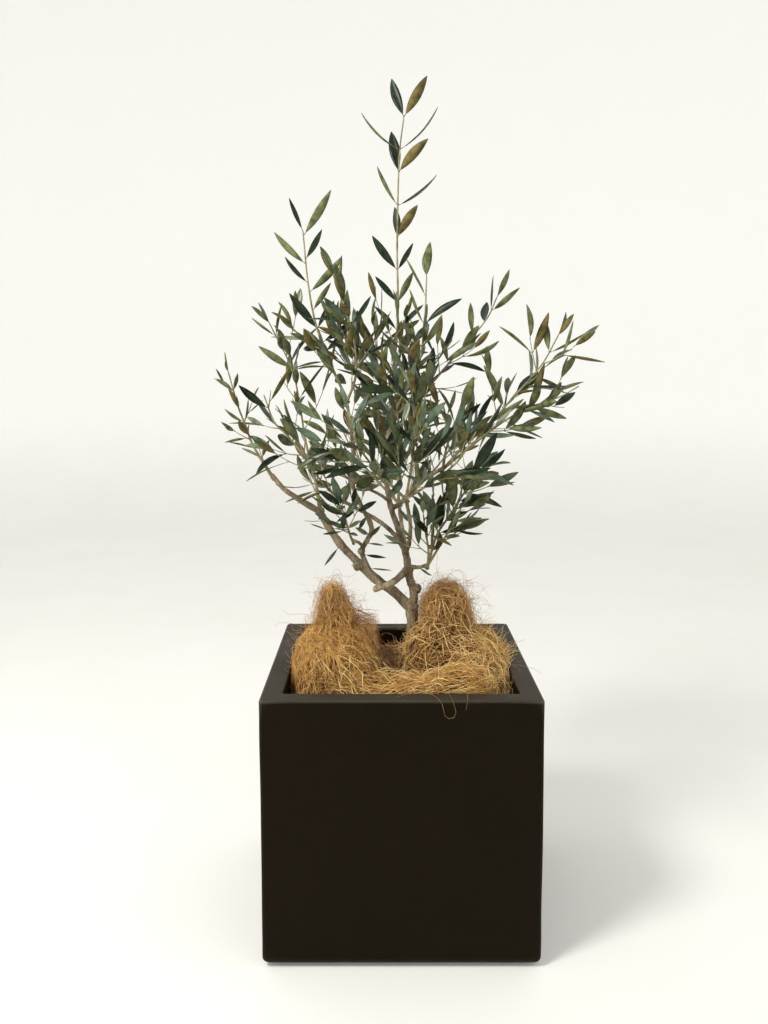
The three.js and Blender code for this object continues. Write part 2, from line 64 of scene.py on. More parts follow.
# %% A socket that can be added and multiplied
class Wire:
    """One output socket of a material, with Python's operators."""

    def __init__(self, tree, socket):
        self.tree = tree
        self.socket = socket

    def math(self, operation, first, second):
        node = self.tree.nodes.new("ShaderNodeMath")
        node.operation = operation
        for place, value in enumerate((first, second)):
            if isinstance(value, Wire):
                self.tree.links.new(value.socket, node.inputs[place])
            else:
                node.inputs[place].default_value = value
        return Wire(self.tree, node.outputs[0])

    def __add__(self, other):
        return self.math("ADD", self, other)

    def __mul__(self, other):
        return self.math("MULTIPLY", self, other)

    __radd__ = __add__
    __rmul__ = __mul__


# %% A finish under construction
class Finish:
    """A material whose nodes are added one by one, ending at a Principled shader."""

    def __init__(self, name):
        self.material = bpy.data.materials.new(name)
        self.material.use_nodes = True
        self.tree = self.material.node_tree
        self.tree.nodes.clear()
        self.shader = self.tree.nodes.new("ShaderNodeBsdfPrincipled")
        output = self.tree.nodes.new("ShaderNodeOutputMaterial")
        self.tree.links.new(self.shader.outputs[0], output.inputs["Surface"])
        self.place = self.node("ShaderNodeTexCoord", {}, {}, "Object")

    def put(self, socket, value):
        if isinstance(value, Wire):
            self.tree.links.new(value.socket, socket)
        else:
            socket.default_value = value

    def node(self, kind, settings, sockets, output=0):
        node = self.tree.nodes.new(kind)
        for name, value in settings.items():
            setattr(node, name, value)
        for name, value in sockets.items():
            self.put(node.inputs[name], value)
        return Wire(self.tree, node.outputs[output])

    def noise(self, scale, detail=3.0, roughness=0.55, stretch=(1, 1, 1)):
        """Scale counts the blobs in a metre. A stretch below 1 draws them out along that axis."""
        place = self.node("ShaderNodeMapping", {}, {"Vector": self.place, "Scale": stretch})
        sockets = {"Vector": place, "Scale": scale, "Detail": detail, "Roughness": roughness}
        return self.node("ShaderNodeTexNoise", {}, sockets)

    def between(self, factor, low, high):
        """0 up to the low value, 1 from the high value on, and even steps between them."""
        sockets = {"Value": factor, "From Min": low, "From Max": high}
        return self.node("ShaderNodeMapRange", {}, sockets)

    def blend(self, factor, first, second):
        node = self.tree.nodes.new("ShaderNodeMix")
        node.data_type = "RGBA"
        for socket, value in zip((node.inputs["Factor"], node.inputs[6], node.inputs[7]),
                                 (factor, first, second)):
            self.put(socket, value)
        return Wire(self.tree, node.outputs[2])

    def bump(self, height, strength, distance):
        sockets = {"Height": height, "Strength": strength, "Distance": distance}
        return self.node("ShaderNodeBump", {}, sockets)

    def height(self):
        return self.node("ShaderNodeSeparateXYZ", {}, {"Vector": self.place}, "Z")

    def finish(self, **values):
        for name, value in values.items():
            self.put(self.shader.inputs[name.replace("_", " ").title().replace("Ior", "IOR")], value)
        return self.material


# %% Colours as they look on a screen
def shade(red, green, blue):
    """From 0 to 255 each, to the linear colour that shaders take."""
    def linear(value):
        value = value / 255
        return value / 12.92 if value <= 0.04045 else ((value + 0.055) / 1.055) ** 2.4
    return (linear(red), linear(green), linear(blue), 1.0)


# %% The common finish: patches of two shades, duller where they are pale, under a fine grain
def patchy_finish(name, dark, pale, patches, spread, dullness, grain=None, **plain):
    """Dullness is the least roughness and what the pale patches add to it."""
    look = Finish(name)
    patch = look.between(look.noise(*patches), *spread)
    if grain is not None:
        noise, strength, depth = grain
        plain["normal"] = look.bump(look.noise(**noise), strength, depth)
    least, added = dullness
    return look.finish(base_color=look.blend(patch, dark, pale), roughness=least + added * patch, **plain)


# %% [markdown]
# ## Seeded draws and wobble
#
# A plant is irregular, but the render has to come out the same each time, so every random choice is
# seeded. The crown grows by a small rule, the same one that grew the solids. Fibres and the twists of
# leaves use numpy's seeded draws. For lumps and grain over many points at once, a sum of a few sine
# waves in seeded directions is quick and smooth.

# %% Seeded draws
def seeded_draw(seed):
    state = [seed]

    def draw():
        state[0] = state[0] * 16807 % 2147483647
        return state[0] / 2147483647
    return draw


def spread(draw, least, added):
    """A drawn value from the least one up to what is added to it."""
    return least + added * draw()


# %% Smooth irregular values over points
def wobble(points, size, seed, layers=5):
    """About -1 to 1 at each point, changing over the given size in metres."""
    slowest, added = 0.6, 0.25
    chance = np.random.default_rng(seed)
    total = np.zeros(len(points))
    for layer in range(layers):
        way = chance.normal(size=3)
        way *= (2 * math.pi / size) * (slowest + added * layer) / np.linalg.norm(way)
        total += np.sin(points @ way + chance.uniform(0, 2 * math.pi))
    return total / math.sqrt(layers)


def wobbles(points, kinds):
    """Several wobbles added up, each with its height, its size and its seed."""
    return sum(height * wobble(points, size, seed) for height, size, seed in kinds)


# %% [markdown]
# ## Meshes from arrays
#
# Leaves, fibres and bark have hundreds of thousands of corners. Building them one face at a time
# would take minutes, so each piece is worked out as whole arrays of corners and faces, and handed to
# Blender in one go.

# %% Hand arrays to Blender
def add_to_scene(name, mesh):
    piece = bpy.data.objects.new(name, mesh)
    bpy.context.scene.collection.objects.link(piece)
    return piece


def make_piece(name, corners, faces, materials, slots=None):
    """faces is a list of arrays, each with rows of 3 or 4 corner numbers."""
    mesh = bpy.data.meshes.new(name)
    counts = np.concatenate([np.full(len(block), block.shape[1]) for block in faces])
    loops = np.concatenate([block.ravel() for block in faces])
    mesh.vertices.add(len(corners))
    mesh.vertices.foreach_set("co", np.asarray(corners, dtype=np.float32).ravel())
    mesh.loops.add(len(loops))
    mesh.loops.foreach_set("vertex_index", loops.astype(np.int32))
    mesh.polygons.add(len(counts))
    starts = np.concatenate([[0], np.cumsum(counts)[:-1]])
    mesh.polygons.foreach_set("loop_start", starts.astype(np.int32))
    if slots is not None:
        mesh.polygons.foreach_set("material_index", slots.astype(np.int32))
    mesh.update(calc_edges=True)
    mesh.validate()
    for material in materials:
        mesh.materials.append(material)
    mesh.polygons.foreach_set("use_smooth", np.ones(len(mesh.polygons), dtype=bool))
    print(f"{name}: {int((counts - 2).sum())} triangles")
    return add_to_scene(name, mesh)


# %% A closed skin over rings of equal count: side faces, and two caps of triangles
def skin_faces(levels, count):
    here = np.arange(count)
    after = (here + 1) % count
    level = (np.arange(levels - 1) * count)[:, None]
    sides = np.stack([level + here, level + after, level + count + after, level + count + here], 2)
    root, last = levels * count, (levels - 1) * count
    caps = [np.stack([np.full(count, root), after, here], 1),
            np.stack([np.full(count, root + 1), last + here, last + after], 1)]
    return sides.reshape(-1, 4), np.vstack(caps)


def skin_rings(rings):
    rings = np.asarray(rings)
    corners = np.vstack([rings.reshape(-1, 3), rings[0].mean(0), rings[-1].mean(0)])
    return corners, list(skin_faces(*rings.shape[:2]))


# %% Merge closed shapes that overlap into one skin of small voxels
def merge_by_voxels(raw, voxel):
    remesh = raw.modifiers.new("merge", "REMESH")
    remesh.mode = "VOXEL"
    remesh.voxel_size = voxel
    merged = bpy.data.meshes.new_from_object(raw.evaluated_get(bpy.context.evaluated_depsgraph_get()))
    bpy.data.objects.remove(raw)
    skin = np.empty(len(merged.vertices) * 3, dtype=np.float32)
    merged.vertices.foreach_get("co", skin)
    return merged, skin.reshape(-1, 3).astype(float)


def finish_merged(name, merged, skin, material):
    merged.vertices.foreach_set("co", skin.astype(np.float32).ravel())
    merged.materials.append(material)
    merged.polygons.foreach_set("use_smooth", np.ones(len(merged.polygons), dtype=bool))
    merged.update()
    print(f"{name}: {len(merged.polygons)} faces")
    return add_to_scene(name, merged)


# %% [markdown]
# ## The planter
#
# The real planter is a fibre clay box: walls that lean out slightly, a broad flat rim, softly rounded
# edges, and a recessed plinth under a rounded foot. It could be a cube with bevels, but rings of the
# true section give each edge its own radius, and leave points along the walls for the faint
# unevenness of a moulded thing.

# %% Planter sizes, from the frame and the real edges
planter_width = planter_high[0] - planter_low[0]
planter_height = planter_high[2]
rim_width = 0.029
foot_width = 0.363
cavity_foot_width = 0.302
cavity_floor = 0.025
rim_rounding = 0.003
foot_rounding = 0.010
upright_rounding = 0.005
plinth_height = 0.004
plinth_inset = 0.016


# %% A square ring with rounded corners
corner_steps, side_steps = 6, 16


def square_ring(width, corner_radius, height):
    centre = width / 2 - corner_radius

    def on_corner(corner, turn):
        to_right = 1 if corner % 4 in (0, 3) else -1
        to_back = 1 if corner % 4 < 2 else -1
        return (to_right * centre + corner_radius * math.cos(turn),
                to_back * centre + corner_radius * math.sin(turn), height)

    ring = []
    for corner in range(4):
        for step in range(corner_steps + 1):
            ring.append(on_corner(corner, (corner + step / corner_steps) * math.pi / 2))
        start = np.array(ring[-1])
        end = np.array(on_corner(corner + 1, (corner + 1) * math.pi / 2))
        for step in range(1, side_steps):
            ring.append(tuple(start + (end - start) * step / side_steps))
    return np.array(ring)


# %% The planter's section, from the plinth up, over the rim and down inside
foot_arc_steps, rim_arc_steps = 7, 6
wall_levels, cavity_levels = 20, 8
rim_shares = (0.15, 0.5, 0.85)
wall_start = plinth_height + foot_rounding + 0.004
wall_end = planter_height - rim_rounding - 0.002
cavity_start = planter_height - 0.010


def outer_width(height):
    return foot_width + (planter_width - foot_width) * height / planter_height


def cavity_width(height):
    share = (height - cavity_floor) / (planter_height - cavity_floor)
    return cavity_foot_width + (planter_width - 2 * rim_width - cavity_foot_width) * share


def planter_section():
    """Width and height of each ring."""
    plinth_width = foot_width - 2 * plinth_inset
    section = [(plinth_width, height) for height in (0, plinth_height)]
    for angle in np.radians(np.linspace(0, 90, foot_arc_steps)):
        height = plinth_height + foot_rounding * (1 - math.cos(angle))
        section.append((outer_width(height) - 2 * foot_rounding * (1 - math.sin(angle)), height))
    for height in np.linspace(wall_start, wall_end, wall_levels):
        section.append((outer_width(height), height))
    for angle in np.radians(np.linspace(0, 90, rim_arc_steps)):
        height = planter_height - rim_rounding + rim_rounding * math.sin(angle)
        section.append((planter_width - 2 * rim_rounding * (1 - math.cos(angle)), height))
    for share in rim_shares:
        width = planter_width - 2 * rim_rounding - 2 * share * (rim_width - 2 * rim_rounding)
        section.append((width, planter_height))
    for angle in np.radians(np.linspace(0, 90, rim_arc_steps)):
        height = planter_height - rim_rounding * (1 - math.cos(angle))
        section.append((cavity_width(height) + 2 * rim_rounding * (1 - math.sin(angle)), height))
    for height in np.linspace(cavity_start, cavity_floor, cavity_levels):
        section.append((cavity_width(height), height))
    return section


# %% The planter's finish: matt charcoal with a faint mottle, a painted sheen on the faces that look up and a painted highlight on the edges, most at the rim
def planter_finish():
    look = Finish("planter_charcoal")
    mottle = look.between(look.noise(9.0, detail=4.0), 0.35, 0.7)
    grain = look.noise(420.0, detail=2.0)
    speckle = look.between(look.noise(900.0, detail=1.0), 0.66, 0.8)
    charcoal = look.blend(mottle, shade(9, 5, 0), shade(15, 10, 2))
    speckled = look.blend(speckle * 0.16, charcoal, shade(80, 76, 68))
    # Painted sheen: faces that look up are lightened, as though they caught the light from above
    facing = look.node("ShaderNodeNewGeometry", {}, {}, "Normal")
    upward = look.node("ShaderNodeSeparateXYZ", {}, {"Vector": facing}, "Z")
    painted_top_sheen = look.blend(look.between(upward, 0.6, 0.95), speckled, shade(52, 48, 41))
    # Painted highlight: the edges, most of all round the rim, are lightened as though they caught the light
    edges = look.between(look.node("ShaderNodeNewGeometry", {}, {}, "Pointiness"), 0.51, 0.58)
    at_rim = look.between(look.height(), planter_height - 0.03, planter_height - 0.006)
    painted_edge_highlight = look.blend(edges * (0.1 + 0.7 * at_rim), painted_top_sheen, shade(122, 114, 100))
    normal = look.bump(grain * 0.4 + look.noise(60.0), 0.22, 0.0006)
    # Painted reflection: the warm specular tint colours the sheen as a warm floor's reflection would
    return look.finish(base_color=painted_edge_highlight, roughness=0.5 + 0.12 * mottle + 0.06 * grain, normal=normal,
                       specular_ior_level=0.12, specular_tint=(1.0, 0.82, 0.58, 1.0))


# %% Make the planter: its walls are out of true by half a millimetre
wall_unevenness = 0.0005
wall_wave = 0.19
uneven_from, uneven_to = 0.02, planter_height - 0.01
level_plane = np.array([1, 1, 0])
rings = np.array([square_ring(width, upright_rounding, height) for width, height in planter_section()])
flat = rings.reshape(-1, 3)
outward = flat * level_plane
outward /= np.linalg.norm(outward, axis=1, keepdims=True)
walls = (flat[:, 2] > uneven_from) & (flat[:, 2] < uneven_to)
unevenness = wall_unevenness * wobble(flat, wall_wave, seed=3)
flat = flat + outward * (unevenness * walls)[:, None] * level_plane
corners, faces = skin_rings(flat.reshape(rings.shape))
planter = make_piece("planter_shell", corners, faces, [planter_finish()])
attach(planter, "root")
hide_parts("planter")

# %% [markdown]
# ## The soil
#
# Little of the soil shows: a dark gap between the heaps of fibre. It is a closed block whose top is a
# field of crumbs, from two sizes of wobble.

# %% The soil's finish
soil_look = patchy_finish("soil_moist", shade(20, 15, 11), shade(66, 52, 39), (140.0, 5.0), (0.35, 0.65),
                          (0.85, 0.1), ({"scale": 500.0, "detail": 4.0}, 0.8, 0.001))

# %% The soil block: level rings up the wall, then smaller and rounder ones over the top
soil_top = soil_high[2]
soil_gap = 0.0003
soil_shoulder = 0.008
soil_crown = 0.006
soil_edge = 0.0065
crumb_kinds = ((0.0018, 0.018, 11), (0.0012, 0.007, 12))
soil_wall_levels, soil_top_levels = 4, 26
soil_rings = [square_ring(cavity_width(height) - 2 * soil_gap, upright_rounding, height)
              for height in np.linspace(soil_low[2], soil_top - soil_shoulder, soil_wall_levels)]
for share in np.linspace(0, 1, soil_top_levels)[1:-1]:
    width = (cavity_width(soil_top) - 2 * soil_gap) * (1 - share)
    rounding = min(upright_rounding + 0.2 * share * width, width / 2.2)
    soil_rings.append(square_ring(width, rounding, soil_top - soil_crown * (1 - share)))
soil_rings = np.array(soil_rings)
soil_flat = soil_rings.reshape(-1, 3)
on_top = soil_flat[:, 2] > soil_top - soil_edge
soil_flat[:, 2] += on_top * wobbles(soil_flat, crumb_kinds)
corners, faces = skin_rings(soil_flat.reshape(soil_rings.shape))
soil = make_piece("soil_bed", corners, faces, [soil_look])
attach(soil, "root")
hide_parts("soil")

# %% [markdown]
# ## Lines, tubes and frames
#
# Limbs, twigs and fibres are all tapering tubes along a line. A route of a few points becomes a
# smooth curve, sampled at even steps. A frame of three directions is carried along it without
# twisting, and rings are laid round it.

# %% A smooth line through a few points
span_samples = 40


def smooth_route(route, step):
    corners = np.array(route, dtype=float)
    before = 2 * corners[0] - corners[1]
    after = 2 * corners[-1] - corners[-2]
    padded = np.vstack([before, corners, after])
    t = np.linspace(0, 1, span_samples, endpoint=False)[:, None]
    spans = []
    for a, b, c, d in zip(padded, padded[1:], padded[2:], padded[3:]):
        spans.append(0.5 * (2 * b + (c - a) * t + (2 * a - 5 * b + 4 * c - d) * t**2
                            + (3 * b - a - 3 * c + d) * t**3))
    dense = np.vstack(spans + [corners[-1:]])
    run = run_along(dense)
    count = max(2, round(run[-1] / step))
    marks = np.linspace(0, run[-1], count + 1)
    return np.stack([np.interp(marks, run, dense[:, axis]) for axis in range(3)], 1)


def run_along(points):
    """Length of the line from its root to each point."""
    return np.concatenate([[0], np.cumsum(np.linalg.norm(np.diff(points, axis=0), axis=1))])


# %% Directions carried along a line
def unit(vectors):
    return vectors / np.linalg.norm(vectors, axis=-1, keepdims=True)


def carry_frames(points):
    along = np.empty_like(points)
    along[1:-1] = points[2:] - points[:-2]
    along[0] = points[1] - points[0]
    along[-1] = points[-1] - points[-2]
    along = unit(along)
    across = np.empty_like(points)
    side = np.array([0.0, 1.0, 0.0])
    for index, way in enumerate(along):
        side = unit(side - way * (side @ way))
        across[index] = side
    return along, across, np.cross(along, across)


# %% Many tapering tubes as one set of arrays
root_dome, tip_dome = 0.3, 0.6


class Tubes:
    """Collects tapering tubes, each closed at both ends by a low dome."""

    def __init__(self, sides):
        self.sides = sides
        self.corners = []
        self.faces = []
        self.caps = []
        self.count = 0

    def add(self, points, radii):
        along, across, up = carry_frames(points)
        angles = np.arange(self.sides) / self.sides * 2 * math.pi
        ring = (across[:, None] * np.cos(angles)[None, :, None]
                + up[:, None] * np.sin(angles)[None, :, None])
        rings = points[:, None] + ring * radii[:, None, None]
        ends = np.stack([points[0] - along[0] * radii[0] * root_dome,
                         points[-1] + along[-1] * radii[-1] * tip_dome])
        sides, caps = skin_faces(len(points), self.sides)
        self.corners += [rings.reshape(-1, 3), ends]
        self.faces.append(sides + self.count)
        self.caps.append(caps + self.count)
        self.count += rings.shape[0] * rings.shape[1] + len(ends)

    def piece(self, name, materials):
        faces = [np.vstack(self.faces), np.vstack(self.caps)]
        return make_piece(name, np.vstack(self.corners), faces, materials)


# %% [markdown]
# ## Trunk and boughs
#
# The trunk forks twice within a hand's breadth and its boughs grow out of each other without a seam.
# Separate tubes would show their joints, so closed tubes are merged by a fine voxel remesh, which
# rounds each crotch, and then the bark's relief is pushed into the merged surface: lengthwise ridges,
# low swellings where leaves once stood, and a fine grain.

# %% The limbs: each route in metres, then the diameters at root and tip
limbs = {
    "trunk": ([(0.024, 0.002, 0.3), (0.02, 0, 0.398), (0.0175, 0, 0.434)], 0.021, 0.0175),
    "bough_left": ([(0.0147, 0, 0.426), (-0.009, 0.002, 0.448), (-0.043, 0.006, 0.472),
                    (-0.09, 0.012, 0.519), (-0.119, 0.015, 0.564)], 0.0145, 0.0105),
    "bough_left_outer": ([(-0.119, 0.015, 0.564), (-0.151, 0.012, 0.584), (-0.174, 0.008, 0.601),
                          (-0.191, 0.004, 0.622)], 0.0095, 0.007),
    "bough_centre": ([(0.0207, 0, 0.429), (0.0214, 0, 0.448), (0.0147, -0.002, 0.471),
                      (0.0117, -0.003, 0.494), (0.0072, -0.003, 0.516)], 0.013, 0.0105),
    "leader": ([(0.0072, -0.003, 0.514), (-0.0016, 0.002, 0.542), (-0.012, 0.008, 0.571),
                (-0.018, 0.01, 0.608), (-0.018, 0.01, 0.656), (-0.015, 0.008, 0.708)], 0.0095, 0.006),
    "bough_pruned": ([(0.013, -0.004, 0.484), (-0.0004, -0.014, 0.472), (-0.015, -0.024, 0.464),
                      (-0.036, -0.033, 0.459)], 0.0105, 0.0095),
    "bough_riser": ([(-0.027, -0.03, 0.463), (-0.041, -0.03, 0.48), (-0.055, -0.024, 0.511),
                     (-0.046, -0.016, 0.53), (-0.042, -0.008, 0.548), (-0.069, 0.004, 0.604),
                     (-0.069, 0.002, 0.661), (-0.079, -0.004, 0.738)], 0.0085, 0.005),
    "bough_inner": ([(-0.051, -0.022, 0.518), (-0.06, -0.028, 0.526), (-0.07, -0.033, 0.531)],
                    0.005, 0.0045),
    "bough_crossing": ([(0.007, -0.003, 0.512), (-0.006, -0.01, 0.533), (-0.025, -0.017, 0.552),
                        (-0.049, -0.023, 0.568), (-0.09, -0.03, 0.591)], 0.0075, 0.005),
    "bough_diagonal": ([(-0.013, 0.008, 0.58), (-0.027, -0.004, 0.592), (-0.048, -0.012, 0.604),
                        (-0.104, -0.012, 0.633)], 0.0055, 0.0045),
    "bough_right": ([(-0.013, 0.008, 0.571), (0.001, 0.011, 0.577), (0.016, 0.013, 0.594),
                     (0.042, 0.014, 0.616), (0.07, 0.012, 0.633)], 0.0075, 0.0055),
    "bough_spur": ([(0.013, -0.004, 0.486), (0.029, -0.014, 0.487), (0.043, -0.022, 0.493)], 0.007, 0.005),
    "bough_front": ([(0.008, -0.003, 0.503), (0.014, -0.022, 0.524), (0.015, -0.048, 0.557),
                     (0.008, -0.074, 0.598)], 0.007, 0.005),
    "bough_back": ([(0.021, 0.002, 0.438), (0.019, 0.022, 0.456), (0.014, 0.048, 0.483),
                    (0.007, 0.075, 0.524), (0.001, 0.095, 0.568)], 0.0095, 0.006),
}
root_flare = 0.014
flare_share = 0.22


def limb_radii(name, count):
    _, root, tip = limbs[name]
    share = np.linspace(0, 1, count)
    flare = root_flare * np.exp(-share / flare_share) if name == "trunk" else 0
    return (root + (tip - root) * share + flare) / 2


# %% Knots where a bough once broke out or was cut: centre and radius
knots = [((0.0262, -0.001, 0.4525), 0.0072), ((-0.119, 0.013, 0.566), 0.0074),
         ((-0.056, -0.026, 0.513), 0.0058), ((-0.062, -0.002, 0.486), 0.0072),
         ((0.0150, -0.003, 0.482), 0.0078), ((0.0185, 0.001, 0.425), 0.0112)]


# %% Bark's finish: patches, weathered greener spots, dark cracks and pale specks
def bark_finish(name, dark, pale, moss):
    look = Finish(name)
    patches = look.between(look.noise(52.0, detail=5.0, stretch=(1, 1, 0.4)), 0.36, 0.66)
    streaks = look.noise(260.0, detail=4.0, stretch=(1, 1, 0.22))
    specks = look.between(look.noise(330.0, detail=1.0, stretch=(1, 1, 0.6)), 0.62, 0.72)
    weathered = look.between(look.noise(17.0, detail=2.0), 0.5, 0.75)
    colour = look.blend(patches, dark, pale)
    colour = look.blend(weathered * 0.45, colour, moss)
    colour = look.blend(look.between(streaks, 0.46, 0.68) * 0.6, colour, shade(52, 43, 28))
    colour = look.blend(specks * 0.5, colour, shade(176, 160, 132))
    normal = look.bump(streaks + look.noise(700.0) * 0.5, 0.85, 0.0010)
    return look.finish(base_color=colour, roughness=0.72 + 0.16 * patches, normal=normal)


bark_look = bark_finish("bark_grey_tan", shade(84, 69, 47), shade(166, 151, 122), shade(100, 90, 62))

# %% Merge the limbs and their knots
bark_voxel = 0.0012
limb_step = 0.004
swelling_share = 0.05
knot_levels = np.array([-1.0, -0.7, 0.0, 0.7, 1.0])
limb_tubes = Tubes(sides=14)
limb_lines = []
for name, (route, root, tip) in limbs.items():
    points = smooth_route(route, limb_step)
    radii = limb_radii(name, len(points))
    limb_lines.append((points, radii))
    swelling = 1 + swelling_share * wobble(points, 0.04, seed=len(name) * 7 + 1)
    limb_tubes.add(points, radii * swelling)
for place, radius in knots:
    upright = knot_levels[:, None] * np.array([0, 0, radius])
    limb_tubes.add(np.array(place) + upright, radius * np.sqrt(1.02 - knot_levels ** 2))
merged, skin = merge_by_voxels(limb_tubes.piece("limbs_raw", []), bark_voxel)

# %% The bark's relief, pushed out along the skin's own directions
ridge_share, bump_share, grain_height = 0.062, 0.060, 0.00016
ridge_stretch = 0.72
limb_points = np.vstack([points for points, _ in limb_lines])
limb_ways = np.vstack([carry_frames(points)[0] for points, _ in limb_lines])
limb_girth = np.concatenate([radii for _, radii in limb_lines])
normals = np.empty(len(merged.vertices) * 3, dtype=np.float32)
merged.vertices.foreach_get("normal", normals)
normals = normals.reshape(-1, 3)
nearest = np.empty(len(skin), dtype=int)
block_size = 4000
for start in range(0, len(skin), block_size):
    block = skin[start:start + block_size]
    nearest[start:start + block_size] = ((block[:, None] - limb_points[None]) ** 2).sum(2).argmin(1)
girth = limb_girth[nearest]
way = limb_ways[nearest]
drawn_out = skin - ridge_stretch * way * (skin * way).sum(1)[:, None]
ridges = wobble(drawn_out, 0.0052, 21, layers=7)
bumps = wobble(skin, 0.016, 22)
grain = wobble(skin, 0.0026, 23, layers=7)
relief = girth * (ridge_share * ridges + bump_share * bumps) + grain_height * grain
bark = finish_merged("bark_trunk_and_boughs", merged, skin + normals * relief[:, None], bark_look)
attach(bark, "root")
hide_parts(*limbs)

# %% The sawn end of the pruned bough: pale wood, darker towards its centre
saw_offset = 0.0012
saw_depth = 0.004
saw_radii = np.array([0.0045, 0.0043])
saw_route = np.array(limbs["bough_pruned"][0])
saw_way = unit(saw_route[-1] - saw_route[-2])
saw_centre = saw_route[-1] + saw_way * saw_offset
look = Finish("sawn_wood")
from_cut_centre = look.node("ShaderNodeVectorMath", {"operation": "DISTANCE"},
                       {0: look.place, 1: tuple(saw_centre)}, "Value")
darker_centre = look.between(from_cut_centre + 0.0008 * look.noise(900.0), 0.0012, 0.0026)
look.finish(base_color=look.blend(darker_centre, shade(38, 26, 16), shade(158, 140, 104)), roughness=0.85)
sawn = Tubes(sides=20)
sawn.add(np.stack([saw_centre - saw_way * saw_depth, saw_centre]), saw_radii)
saw_piece = sawn.piece("sawn_end", [look.material])
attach(saw_piece, "root")
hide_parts("bough_pruned")

# %% [markdown]
# ## Growing the crown
#
# Every mass of foliage grows from one bough by the same rule: a stem along a measured route, side
# shoots each 137.5 degrees round from the last, short twigs on those, and leaves in pairs with each
# pair a quarter turn from the next. The rule is run here rather than modelled by hand, because the eye
# knows at once when twigs do not join up. A shoot stops where it would leave its own mass's space.

